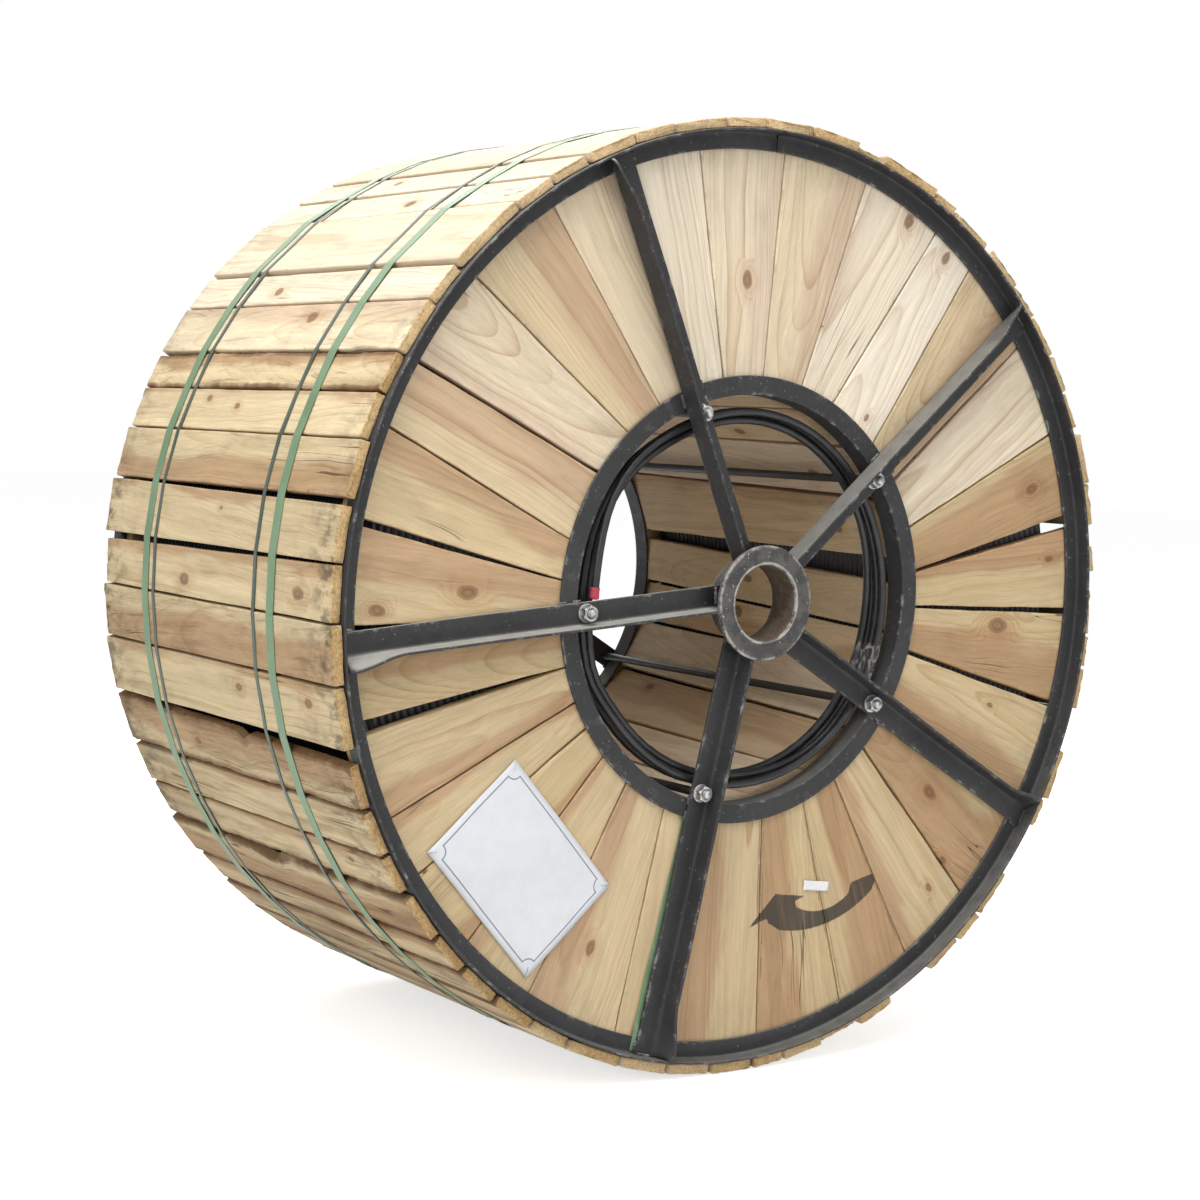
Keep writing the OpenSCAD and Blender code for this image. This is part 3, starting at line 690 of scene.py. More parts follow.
def plank(shape, ends, up, thick, look, along=26, across=8, bevel=1.2 * MM, wander=0.9 * MM,
          sink=(0.0, 0.0), warp=0.5 * MM, skew=(0.0, 0.0), ragged=1.2 * MM, ink=None):
    """One sawn board; ends holds its a edge and b edge on the hidden face, each from near to far."""
    (a0, a1), (b0, b1) = ends
    centre = (a0 + a1 + b0 + b1) / 4
    run = (a1 + b1 - a0 - b0) / 2
    length = np.linalg.norm(run)
    ex = run / length
    ey = np.cross(up, ex)
    ey = ey * np.sign((b0 + b1 - a0 - a1) @ ey)
    b = bevel / length
    u = np.concatenate([[0, 0.3 * b, b], np.linspace(0, 1, along)[1:-1], [1 - b, 1 - 0.3 * b, 1]])[:, None]
    v, dy, w, dz = board_section(across, bevel)
    edge_a = a0 + (a1 - a0) * u[..., None]
    edge_b = b0 + (b1 - b0) * u[..., None]
    points = edge_a * (1 - v[..., None]) + edge_b * v[..., None] + up * (w * thick)[..., None]
    lx, ly, lz = ((points - centre) @ axis for axis in (ex, ey, up))
    # edges: uneven and here and there torn
    cuts = []
    for torn in look.torn:
        slow, quick = wobble(5, 1.3), wobble(9, 5.0, 0.9)
        tear = np.clip(0.5 + 0.7 * slow(u * 0.7 + 3) + 0.6 * quick(u), 0, 1.4)
        cuts.append(wander * (1 + slow(u)) / 2 + torn * (0.35 + 0.65 * w) * tear)
    for edge, at, half, deep in look.notches:
        jagged = 0.75 + 0.4 * wobble(7, 6.0, 0.9)(u)
        cuts[edge] = cuts[edge] + deep * jagged * np.sqrt(np.clip(1 - np.abs(u - at) / half, 0, 1))
    dy = dy + cuts[0] * (1 - v) - cuts[1] * v
    # face: a little sunk, cupped and uneven
    hollow, ripple = wobble(4, 0.6), wobble(3, 2.0)
    drop = sink[0] + (sink[1] - sink[0]) * v + warp * (1 + hollow(u * 0.8)) / 2
    dz = dz - w * (drop + 0.15 * MM * (1 + ripple(u + 0.37 * v)))
    # ends: out of square, ragged and rounded
    jag = wobble(6, 2.5)
    chip = ragged * (1 + jag(v * 0.9 + 0.31 * w)) / 2
    near, far = np.clip(1 - u * 12, 0, 1), np.clip(u * 12 - 11, 0, 1)
    dx = near * (skew[0] * v + chip) - far * (skew[1] * v + chip)
    gap = np.minimum(u, 1 - u)
    is_end = gap < 0.6 * b
    rounding = bevel * np.where(gap < 0.1 * b, 1.0, np.where(is_end, 0.3, 0.0))
    dy = dy - rounding * np.sign(v - 0.5) * (np.abs(v - 0.5) > 0.49)
    dz = dz - rounding * np.sign(w - 0.5) * (np.abs(w - 0.5) > 0.49)
    points = points + ex * dx[..., None] + ey * dy[..., None] + up * dz[..., None]
    # what the material reads: grain around a pith line, knots, heartwood, wear
    slope, lean = rng.normal(0, 0.025), rng.normal(0, 0.05)
    pith_y, pith_z = rng.uniform(-0.05, 0.05), rng.uniform(0.035, 0.11)
    grain = (lx + rng.uniform(-40, 40), ly - lx * slope - pith_y, lz + pith_z + lx * lean)
    knot = np.full((*lx.shape, 3), NO_KNOT)
    for x, y, size in look.knots:
        close = np.hypot(lx - x, ly - y) < max(5 * size, 30 * MM)
        knot[close] = columns(lx - x, ly - y, size)[close]
    heart = look.heart - (v if look.side > 0 else 1 - v)
    stain = look.stain * np.exp(-gap * length / STAIN_L)
    torn = sum(np.exp(-14 * d) * (t > TORN) for d, t in zip((v, 1 - v), look.torn))
    inked = np.where(w > 0.5, ink(points), NO_INK) if ink else NO_INK
    shape.sweep(points, grain=columns(*grain), knot=knot, mix=columns(heart, look.light, is_end),
                wear=columns(stain, torn, inked), age=np.full(lx.shape, look.age))


def arc(centre, radius, start, end, steps=14):
    a = np.radians(np.linspace(start, end, steps))
    return np.column_stack([centre[0] + radius * np.cos(a), centre[1] + radius * np.sin(a)])


# Outline of the black direction arrow on the front flange, millimetres right and up of the axis
ARROW = np.concatenate([
    [(31, -432), (74, -389), (125, -395), (108, -401)],
    arc((146, -335), 82, -115, -49),
    [(204, -382), (249, -370), (246, -384)],
    arc((117, -251), 190, -49, -100),
    [(64, -427), (61, -421)]])


def arrow_distance(points):
    """Distance to the arrow's outline in millimetres, negative inside, at most 60."""
    p = points[..., :2] / MM
    best = np.full(p.shape[:-1], 60.0)
    inside = np.zeros(p.shape[:-1], bool)
    for a, b in zip(ARROW, np.roll(ARROW, -1, 0)):
        along, away = b - a, p - a
        share = np.clip((away @ along) / (along @ along), 0, 1)
        best = np.minimum(best, np.linalg.norm(away - share[..., None] * along, axis=-1))
        spans = (a[1] > p[..., 1]) != (b[1] > p[..., 1])
        inside ^= spans & (away[..., 0] < along[0] * away[..., 1] / (along[1] + 1e-12))
    return np.where(inside, -best, best)


# Front flange's boards, counter-clockwise from the right: brightness, share of heartwood and its side; the
# brightness is each board's tone, higher on the upper boards partly as painted light from above
FLANGE_LOOK = [
    (0.60, 0.45, -1), (0.54, 0.80, 1), (0.82, 0.18, -1), (0.70, 0.60, 1), (0.98, 0.04, 1), (0.86, 0.22, -1),
    (0.76, 0.38, 1), (0.80, 0.30, 1), (0.86, 0.12, -1), (0.76, 0.22, 1), (0.70, 0.62, 1), (0.78, 0.18, -1),
    (0.70, 0.55, 1), (0.66, 0.45, 1), (0.66, 0.60, 1), (0.58, 0.55, 1), (0.66, 0.38, -1), (0.66, 0.15, 1),
    (0.62, 0.22, -1), (0.66, 0.30, 1), (0.68, 0.40, 1), (0.66, 0.30, -1), (0.66, 0.50, 1), (0.60, 0.58, 1),
    (0.60, 0.72, -1), (0.66, 0.30, 1), (0.54, 0.88, 1), (0.64, 0.52, 1), (0.60, 0.66, 1)]
# Knots seen on the front flange: board, radius, angle and size in millimetres and degrees
FLANGE_KNOTS = [
    (0, 546, 5.8, 6), (1, 524, 16.5, 9), (4, 307, 52.8, 4), (4, 561, 55.8, 7), (5, 565, 65.3, 8),
    (7, 411, 93.3, 8), (14, 421, 178.6, 10), (14, 543, 182.0, 8), (20, 488, 242.5, 7), (25, 528, 311.5, 5),
    (26, 518, 315.5, 5), (26, 430, 321.9, 9), (27, 466, 341.6, 4), (28, 450, 355.7, 12)]
# Degrees between which lie the boards with the arrow, and the board whose gap is wider at the rim
ARROW_SPAN = (261, 309)
PINCHED_SPAN = (197, 205)
PINCH = 5 * MM


def within(turn, span):
    return span[0] < math.degrees(turn) < span[1]


def hidden_corners(points, height, along, across):
    """Corners of a board on its hidden face: those of its a edge and b edge, each from near to far."""
    hidden = height < (height.min() + height.max()) / 2
    far = along > (along.min() + along.max()) / 2
    groups = (hidden & ~far, hidden & far)
    return [[points[group][np.argmax(sign * across[group])] for group in groups] for sign in (-1, 1)]


def flange_board(points):
    """Angle of a flange board and its corners on the hidden face, from the eye to the rim."""
    mid = points.mean(0)
    turn = math.atan2(mid[1], mid[0])
    x, y, z = points.T
    angle = (np.arctan2(y, x) - turn + math.pi) % TAU - math.pi
    return turn % TAU, hidden_corners(points, np.abs(z), np.hypot(x, y), angle)


def front_look(k, turn, ends):
    light, heart, side = FLANGE_LOOK[k]
    centre = np.mean(ends, (0, 1))
    knots = []
    for board, r, angle, size in FLANGE_KNOTS:
        if board == k:
            away = polar(r * MM, angle * DEG, 0) - centre
            x, y, _ = turned_by(-turn, away[0], away[1], 0)
            knots.append((x, y, size * MM))
    return Look(light, heart, side, knots)


def any_look(light, reach_x, reach_y):
    """Look of a board that the photo doesn't show."""
    knots = []
    if rng.random() < 0.55:
        knots = [(rng.uniform(-reach_x, reach_x), rng.uniform(-reach_y, reach_y), rng.uniform(5, 10) * MM)]
    return Look(rng.uniform(*light), rng.choice([0.05, 0.2, 0.4, 0.7]), rng.choice([-1, 1]), knots)


def flange(node, piece, front):
    shape = Shape()
    boards = sorted((flange_board(points) for points in loose_parts(node)), key=lambda board: board[0])
    for k, (turn, ends) in enumerate(boards):
        look = front_look(k, turn, ends) if front else any_look((0.5, 0.9), 0.12, 0.025)
        if front and within(turn, PINCHED_SPAN):
            ends[0][1] = ends[0][1] + PINCH * turned_by(turn, 0, 1, 0)
        drawn = front and within(turn, ARROW_SPAN)
        plank(shape, ends, np.array([0, 0, 1 if front else -1]), BOARD_T, look,
              along=150 if drawn else 26, across=46 if drawn else 9, wander=1.0 * MM,
              sink=rng.uniform(0, 1.2 * MM, 2), ink=arrow_distance if drawn else None)
    shape.make(piece, FLANGE_WOOD, "flange_wood", [node])


flange("front_boards", "flange_boards_front", True)
flange("back_boards", "flange_boards_back", False)


def standing_boards(node, outward):
    """Boards round the axis: angle, way the seen face looks, thickness, corners on the hidden face."""
    found = []
    for points in loose_parts(node):
        mid = points.mean(0)
        turn = math.atan2(mid[1], mid[0]) % TAU
        up = outward * turned_by(turn, 1, 0, 0)
        height = points @ up
        ends = hidden_corners(points, height, -points[:, 2], points @ turned_by(turn, 0, 1, 0))
        found.append((turn, up, height.max() - height.min(), ends))
    return sorted(found, key=lambda board: board[0])


# Lagging seen in the photo: angle, brightness, heartwood's share and side, torn edges in millimetres, age;
# the brightness falls from the upper to the lower boards, partly as painted shade on boards that face down
LAG_LOOK = [
    (147, 0.74, 0.30, 1, 0, 0, 0.45), (154, 0.60, 0.35, 1, 2.5, 2.5, 0.7), (159, 0.66, 0.10, 1, 0, 0, 0.4),
    (165, 0.42, 0.50, -1, 0, 1.0, 0.5), (172, 0.45, 0.15, 1, 0, 0, 0.5), (179, 0.50, 0.20, 1, 0, 0, 0.6),
    (186, 0.38, 0.72, -1, 0, 0, 0.7), (193, 0.44, 0.10, 1, 0, 0, 0.5), (201, 0.32, 0.62, 1, 4.0, 3.0, 1.0),
    (207, 0.36, 0.10, 1, 0, 1.0, 0.85), (212, 0.36, 0.15, 1, 0, 3.5, 0.9), (218, 0.38, 0.75, -1, 5, 2.0, 1),
    (224, 0.38, 0.30, 1, 2.5, 2.0, 1), (230, 0.42, 0.30, 1, 2, 2, 1), (236, 0.42, 0.35, -1, 2, 1.6, 1)]
# Pieces broken out of an edge: angle of the board, edge (0 lower, 1 upper angle), place, half length, depth
LAG_NOTCHES = [(218, 0, 0.55, 0.075, 13 * MM), (201, 0, 0.42, 0.03, 9 * MM), (224, 0, 0.2, 0.05, 6 * MM)]
# Knots seen on the lagging: angle, millimetres behind the front lip, size in millimetres
LAG_KNOTS = [
    (179.8, 92, 9), (180.2, 405, 9), (191.8, 78, 7), (191.9, 262, 6), (211.3, 100, 5), (159.0, 356, 5),
    (158.2, 444, 5), (147.0, 268, 9), (201.0, 430, 6), (171.5, 318, 3)]
# Degrees between which boards have stained ends, or lie on top and are painted pale, as light from above
# falls on them
LAG_STAINED = (168, 216)
LAG_PALE_LIT_TOP = (84, 144)
# Degrees from a board's middle within which a row of these tables means it
SAME_BOARD = 2.4
# Lower edges that spread past the CAD board: angle, millimetres at the front and at the back end
LAG_SPREAD = [
    (154.5, 5, 5), (159.5, 2.5, 2.5), (165.6, 2, 2), (172.7, 1, 7), (179.3, 2, -5), (186, 2, 2),
    (193, 1.5, 2), (201, 0, 13), (348.4, 5, 5)]


def lag_look(turn, ends):
    deg = math.degrees(turn)
    centre = np.mean(ends, (0, 1))
    r = np.hypot(*centre[:2])
    half = np.linalg.norm(ends[1][0] - ends[0][0]) / 2
    knots = []
    for angle, behind, size in LAG_KNOTS:
        y = (angle - deg) * DEG * r
        if abs(y) < half:
            knots.append((centre[2] - LIP_Z + behind * MM, y, size * MM))
    for at, light, heart, side, torn_a, torn_b, age in LAG_LOOK:
        if abs(at - deg) < SAME_BOARD:
            stain = 1.5 if within(turn, LAG_STAINED) else 0.6
            notches = tuple(notch[1:] for notch in LAG_NOTCHES if abs(notch[0] - deg) < SAME_BOARD)
            return Look(light, heart, side, knots, (torn_a * MM, torn_b * MM), stain, age, notches)
    look = any_look((0.60, 0.86), 0.28, 0.6 * half)
    look.age = 0.35
    # painted light: the top boards are made pale and even, with little heartwood
    if within(turn, LAG_PALE_LIT_TOP):
        look.light, look.heart = rng.uniform(0.72, 0.86), 0.05
    return look


def lagging():
    shape = Shape()
    for turn, up, thick, ends in standing_boards("lagging_boards", 1):
        look = lag_look(turn, ends)
        for angle, *spread in LAG_SPREAD:
            if abs(math.degrees(turn) - angle) < SAME_BOARD:
                ends[0] = [end - out * MM * turned_by(turn, 0, 1, 0) for end, out in zip(ends[0], spread)]
        steps = 130 if max(look.torn) > TORN else 46
        plank(shape, ends, up, thick, look, along=steps, bevel=1.3 * MM, warp=0.6 * MM,
              skew=rng.uniform(0, 3 * MM, 2), ragged=3.5 * MM)
    shape.make("lagging_boards_sawn", LAGGING_WOOD, "lagging_wood", ["lagging_boards"])


def staves():
    shape = Shape()
    for turn, up, thick, ends in standing_boards("barrel_staves", -1):
        plank(shape, ends, up, thick, any_look((0.45, 0.85), 0.25, 0.03), along=30, sink=(0, 0.8 * MM))
    shape.make("barrel_staves_sawn", STAVE_WOOD, "stave_wood", ["barrel_staves"])


lagging()
staves()


def rounded(points, radii, steps=3):
    """A closed outline with corners rounded by radii in millimetres, and 1 where one sticks out."""
    corners = np.array(points, float)
    nxt = np.roll(corners, -1, 0)
    area = (corners[:, 0] * nxt[:, 1] - nxt[:, 0] * corners[:, 1]).sum()
    outline, worn = [], []
    t = np.linspace(0, 1, steps)[:, None]
    for corner, back, ahead, radius in zip(corners, np.roll(corners, 1, 0) - corners, nxt - corners, radii):
        back_l, ahead_l = np.linalg.norm(back), np.linalg.norm(ahead)
        back, ahead = back / back_l, ahead / ahead_l
        sticks_out = float((ahead[1] * back[0] - ahead[0] * back[1]) * area < 0)
        cut = min(radius * MM, 0.45 * back_l, 0.45 * ahead_l)
        bend = corner + cut * ((1 - t) ** 2 * back + t ** 2 * ahead)
        before = corner + back * min(2.6 * cut, 0.49 * back_l)
        after = corner + ahead * min(2.6 * cut, 0.49 * ahead_l)
        outline += [before, *bend, after]
        worn += [0.15 * sticks_out, *[sticks_out] * steps, 0.15 * sticks_out]
    return np.array(outline), np.array(worn)


def turned(shape, outline, steps, start=0.0, span=TAU, uneven=0.0, flip=1, **along):
    """Turns an outline of radius and height round the axis, whole or with a gap."""
    closed = span > TAU - 1e-9
    a = start + np.linspace(0, span, steps, endpoint=not closed)[:, None]
    t = (a - start) / TAU
    fade = np.sin(t * math.pi) ** 2 if closed else 1.0
    r = outline[:, 0] + uneven * fade * wobble()(t)
    z = outline[:, 1] + 0.6 * uneven * fade * wobble()(t)
    repeated = {key: np.tile(value, steps) for key, value in along.items()}
    shape.sweep(polar(r, a, z * flip), ring=closed, **repeated)


RIM_JOINT = 89.2 * DEG
RIM_JOINT_GAP = 3.2 * MM / RIM_R
FACES = (("front", 1), ("back", -1))


def rim(side, flip):
    inner, flat = RIM_R - STEEL_LEG, RIM_R - STEEL_T
    corners = [(inner, BOARD_Z), (RIM_R, BOARD_Z), (RIM_R, LIP_Z)]
    corners += [(flat, LIP_Z), (flat, FACE_Z), (inner, FACE_Z)]
    outline, worn = rounded(corners, [0.8, 1.4, 1.2, 1.2, 3.0, 1.2])
    shape = Shape()
    turned(shape, outline, 300, RIM_JOINT, TAU - RIM_JOINT_GAP, 0.25 * MM, flip, edge=worn)
    shape.make(f"{side}_rim_angle", STEEL, "steel_paint", [f"{side}_rim"])


def eye_ring(side, flip):
    inner = EYE_OUT_R - STEEL_LEG
    step = inner + STEEL_T
    corners = [(inner, EYE_BACK_Z), (step, EYE_BACK_Z), (step, BOARD_Z)]
    corners += [(EYE_OUT_R, BOARD_Z), (EYE_OUT_R, FACE_Z), (inner, FACE_Z)]
    outline, worn = rounded(corners, [1.0, 1.0, 0.8, 1.0, 1.2, 1.6])
    shape = Shape()
    turned(shape, outline, 220, uneven=0.2 * MM, flip=flip, edge=worn)
    shape.make(f"{side}_eye_angle", STEEL, "steel_paint", [f"{side}_eye_ring"])


def hub(side, flip):
    under = PLATE_Z - PLATE_T
    corners = [(BORE_R, HUB_BACK_Z), (PIPE_R, HUB_BACK_Z), (PIPE_R, under)]
    corners += [(PLATE_R, under), (PLATE_R, PLATE_Z), (BORE_R, PLATE_Z)]
    outline, worn = rounded(corners, [1.2, 1.2, 2.0, 1.4, 1.6, 1.8])
    bore = (outline[:, 0] < BORE_R + 0.6 * MM).astype(float)
    shape = Shape()
    turned(shape, outline, 120, uneven=0.3 * MM, flip=flip, edge=worn, bore=bore)
    shape.make(f"{side}_hub_pipe", HUB_STEEL, "hub_steel", [f"{side}_hub"])


def spoke_sections(steps=64):
    """Rounded steel angle from the hub to the rim; its upright leg leans sideways over the foot."""
    heel, toe, web = SPOKE_HEEL, SPOKE_HEEL - SPOKE_LEG, SPOKE_HEEL - SPOKE_T
    corners = [(toe, 0), (heel, 0), (heel, SPOKE_LEG), (web, SPOKE_LEG), (web, SPOKE_T), (toe, SPOKE_T)]
    outline, worn = rounded(corners, [1.0, 2.2, 1.3, 1.6, 3.5, 1.6])
    y, z = outline.T
    start = np.sqrt(PIPE_R ** 2 - y ** 2) + 0.2 * MM
    foot_end = math.sqrt(SPOKE_END_R ** 2 - (heel + FOOT_SPLAY) ** 2)
    end = np.where(z > SPOKE_T + 0.5 * MM, foot_end, np.sqrt(SPOKE_END_R ** 2 - y ** 2))
    first = 1 - FOOT_L / (foot_end - PIPE_R)
    u = np.concatenate([np.linspace(0, first, steps // 3), np.linspace(first, 1, steps)[1:]])[:, None]
    s = start + (end - start) * u
    share = np.clip((z - SPOKE_T) / (SPOKE_LEG - SPOKE_T), 0, 1)
    lean = FOOT_SPLAY * ease((s - foot_end + FOOT_L - FOOT_L / 8) / (FOOT_L * 7 / 8))
    into = np.clip(s - foot_end + FOOT_CORNER, 0, FOOT_CORNER)
    drop = FOOT_CORNER - np.sqrt(FOOT_CORNER ** 2 - into ** 2)
    tip = np.clip((u - first) / (1 - first), 0, 1) ** 3 * (share > 0.5)
    return s, y + lean * share, FACE_Z + z - drop * share, worn + 0 * s, tip


# Spoke whose foot is worn to bare steel and made paler along its upright leg as a painted highlight
WORN_HIGHLIT_FOOT = 2


def spokes(side, flip):
    shape = Shape()
    s, y, z, worn, tip = spoke_sections()
    for k, turn in enumerate(SPOKE_TURNS):
        bend = 0.6 * MM * wobble(3, 0.7)(s[:, :1] * 1.6) * np.clip((s - 0.1) * 4, 0, 1)
        # worn edges at the foot ends, much stronger on one spoke: bare steel, partly a painted highlight
        edge = worn + tip * (0.9 if k == WORN_HIGHLIT_FOOT else 0.2)
        # dust marks the spokes for paler up-facing faces in the steel paint: dust, and partly a painted
        # highlight
        shape.sweep(turned_by(turn, s, y + bend, z * flip), edge=edge, dust=np.ones_like(edge))
    shape.make(f"{side}_spoke_angles", STEEL, "steel_paint", [f"{side}_spokes"])


def tube(points, side, radius, flat=1.0, sides=10):
    """Sections of a bar along points, round or flattened, with a given direction across it."""
    run = unit(np.gradient(points, axis=0))
    side = np.broadcast_to(side, run.shape)
    rise = np.cross(side, run)
    q = around(sides)[None, :, None]
    radius = np.broadcast_to(radius, len(points))[:, None, None]
    return points[:, None] + radius * (np.cos(q) * side[:, None] + flat * np.sin(q) * rise[:, None])


def bead(shape, points, radius, lumps, flat=0.75, sides=10):
    """A lumpy weld bead along points."""
    t = np.linspace(0, 1, len(points))
    lump = np.abs(np.sin(t * lumps * math.pi + rng.uniform(0, 3)))
    size = radius * (0.8 + 0.25 * lump + 0.18 * wobble(4, 2.0)(t))
    size = size * np.clip(np.minimum(t, 1 - t) * 9 + 0.25, 0, 1)
    run = np.gradient(points, axis=0)
    upright = np.abs(run[:, 2:]) > np.linalg.norm(run[:, :2], axis=1, keepdims=True)
    side = unit(np.where(upright, np.cross(run, points), np.cross(run, [0, 0, 1.0])))
    shape.sweep(tube(points, side, size, flat, sides), edge=np.full(len(points) * sides, 0.7))


def welds(side, flip):
    """Beads where the spokes meet the eye ring, the rim and the hub, and round the hub's plate."""
    heel, toe = SPOKE_HEEL, SPOKE_HEEL - SPOKE_LEG
    low, step, top = FACE_Z + 1.2 * MM, FACE_Z + SPOKE_T, FACE_Z + SPOKE_LEG
    eye, rim_in, end, pipe = EYE_OUT_R - STEEL_LEG, RIM_R - STEEL_LEG, SPOKE_END_R, PIPE_R + 1.2 * MM
    below, above = toe - 0.6 * MM, heel + 0.8 * MM
    # start and end (along a spoke, across it, along the axis), radius in millimetres, lumps
    runs = [
        ((eye - 5 * MM, below, low), (eye + 8 * MM, below, low), 2.4, 3),
        ((EYE_OUT_R - 9 * MM, below, low), (EYE_OUT_R + 4 * MM, below, low), 2.4, 3),
        ((eye + 3 * MM, above, low), (eye + 22 * MM, above, low), 2.6, 4),
        ((rim_in + 4 * MM, below, low), (rim_in + 17.5 * MM, below, low), 2.6, 3),
        ((end - 1.2 * MM, toe + 4 * MM, step), (end - 0.5 * MM, heel - 6 * MM, step), 2.2, 5),
        ((pipe, toe + 2 * MM, step), (pipe + 1 * MM, heel - 5 * MM, step), 2.6, 4),
        ((pipe, above, low), (pipe, above, top - 2 * MM), 2.6, 5)]
    shape, bright = Shape(), Shape()
    t = np.linspace(0, 1, 14)[:, None]
    for turn in SPOKE_TURNS:
        for first, last, radius, lumps in runs:
            x, y, z = (np.array(first) * (1 - t) + np.array(last) * t).T
            bead(shape, turned_by(turn, x, y, z * flip), radius * MM, lumps)
    a = np.linspace(0, TAU, 121)
    r = BORE_R + 2.4 * MM + 0.5 * MM * wobble(6, 2.0)(a / TAU)
    bead(bright, polar(r, a, PLATE_Z * flip), 1.3 * MM, 31, 0.55)
    shape.make(f"{side}_weld_beads", WELD, "hub_steel")
    bright.make(f"{side}_hub_bead", BRIGHT_WELD, "hub_steel")


for side, flip in FACES:
    rim(side, flip)
    eye_ring(side, flip)
    hub(side, flip)
    spokes(side, flip)
    welds(side, flip)

THREAD_L = 34 * MM
PITCH = 1.75 * MM
THREAD_H = 0.35 * MM


def on_rod(turn, sections):
    """Moves what is made round the axis to the tie rod beside a spoke."""
    x, y, z = np.moveaxis(sections, -1, 0)
    return turned_by(turn, x + ROD_S, y + ROD_SIDE, z)


def rod():
    q = around(20)
    z = ROD_END_Z - np.linspace(0, THREAD_L, 60)
    z = np.concatenate([-z, z[::-1]])[:, None]
    tip = np.clip((ROD_END_Z - np.abs(z) - 0.4 * MM) / (0.8 * MM), 0, 1)
    r = (ROD_R - 1.2 * THREAD_H + THREAD_H * np.cos(TAU * z / PITCH - q)) * (0.86 + 0.14 * tip)
    return polar(r, q, z)


def washer(z):
    hole = ROD_R + 0.1 * MM
    corners = [(hole, z), (WASHER_R, z), (WASHER_R, z + WASHER_T), (hole, z + WASHER_T)]
    outline, _ = rounded(corners, [0.2, 0.4, 0.6, 0.3])
    return polar(outline[:, 0], around(40)[:, None], outline[:, 1])


def nut(z, turn):
    """Hexagon with rounded-off corners at both ends and a chamfered hole."""
    a = around(72)
    flat = 0.995 * NUT_AF / 2 / np.cos((a + math.pi / 6) % (math.pi / 3) - math.pi / 6)
    blunt = np.minimum(flat, 1.01 * NUT_AF / 2)
    hole = np.full(72, ROD_R + 0.1 * MM)
    chamfer = 1.1 * MM
    rows = [(hole, 0), (blunt, 0), (flat, chamfer), (flat, NUT_H - chamfer), (blunt, NUT_H)]
    rows += [(hole + 0.8 * MM, NUT_H), (hole, NUT_H - 0.9 * MM)]
    return np.stack([polar(r, a + turn, z + h) for r, h in rows], 1)


def tie_rods():
    rods, washers, nuts = Shape(), Shape(), Shape()
    seat = FACE_Z + SPOKE_T
    for turn in SPOKE_TURNS:
        rods.sweep(on_rod(turn, rod()))
        for _, flip in FACES:
            mirror = np.array([1, 1, flip])
            washers.sweep(on_rod(turn, washer(seat) * mirror), ring=True)
            nuts.sweep(on_rod(turn, nut(seat + WASHER_T, rng.uniform(0, 1)) * mirror), ring=True)
    rods.make("tie_rods_threaded", ROD_STEEL, "rod_steel", ["tie_rods"])
    washers.make("washers_zinc", ZINC, "zinc", ["washers"])
    nuts.make("nuts_hex", ZINC, "zinc", ["nuts"], smooth=False)


tie_rods()


def turn_row(first, last, steps):
    """Half rounds of the cable's turns, side by side from one corner of the winding to the next."""
    first, last = np.array(first), np.array(last)
    run = last - first
    count = round(np.linalg.norm(run) / CABLE_D)
    step = run / count
    out = np.array([run[1], -run[0]]) / np.linalg.norm(run) * CABLE_D / 2
    t = np.linspace(0.10, math.pi - 0.10, steps)
    half = np.outer(np.sin(t), out) - np.outer(np.cos(t), step) / 2
    return np.concatenate([first + step * (i + 0.5) + half for i in range(count)])


def winding():
    """Wound cable: every turn shows on the two ends, the outside and the bore."""
    cad = np.concatenate(loose_parts("cable_winding"))
    inner = np.hypot(cad[:, 0], cad[:, 1]).min() + CABLE_D / 2
    outer = WINDING_R - CABLE_D / 2
    end = WINDING_Z - CABLE_D / 2
    corners = [(inner, -end), (outer, -end), (outer, end), (inner, end)]
    half_round_points = (6, 6, 6, 5)
    sides = zip(corners, corners[1:] + corners[:1], half_round_points)
    shape = Shape()
    turned(shape, np.concatenate([turn_row(*side) for side in sides]), 110)
    shape.make("wound_cable", CABLE, "cable_black", ["cable_winding"])


winding()


def hull(points):
    """Corners of the tightest line round points in the plane, counter-clockwise."""
    order = sorted(set(map(tuple, np.round(points, 6))))
    corners = []
    for row in (order, order[::-1]):
        chain = []
        for p in row:
            while len(chain) > 1:
                (x0, y0), (x1, y1) = chain[-2:]
                if (x1 - x0) * (p[1] - y1) - (y1 - y0) * (p[0] - x1) > 1e-9:
                    break
                chain.pop()
            chain.append(p)
        corners += chain[:-1]
    return np.array(corners)


def strap(node, piece, material, slot):
    """A band drawn tight over the lagging, which wanders a little sideways."""
    cad = np.concatenate(loose_parts(node))
    middle = (cad[:, 2].min() + cad[:, 2].max()) / 2
    half = (cad[:, 2].max() - cad[:, 2].min()) / 2
    corners = hull(cad[:, :2])
    closed = np.vstack([corners, corners[:1]])
    walk = np.concatenate([[0], np.cumsum(np.linalg.norm(np.diff(closed, axis=0), axis=1))])
    total = walk[-1]
    near_corner = 2 * MM
    stops = np.concatenate([np.linspace(0, total, 300), walk[:-1] + near_corner, walk[1:] - near_corner])
    s = np.unique(stops % total)[:, None]
    x, y = np.interp(s, walk, closed[:, 0]), np.interp(s, walk, closed[:, 1])
    r = np.hypot(x, y)
    drift = 2.2 * MM * wobble(5, 2.0)(s / total) * np.sin(s / total * math.pi) ** 0.5
    outline, _ = rounded([(-half, -STRAP_T), (half, -STRAP_T), (half, 0), (-half, 0)], [0.3] * 4, 2)
    across, rise = outline.T
    band = columns(s, across, 0.0)
    sections = columns(x * (1 + rise / r), y * (1 + rise / r), middle + drift + across)
    shape = Shape()
    shape.sweep(sections, ring=True, band=band)
    shape.make(piece, material, slot, [node])


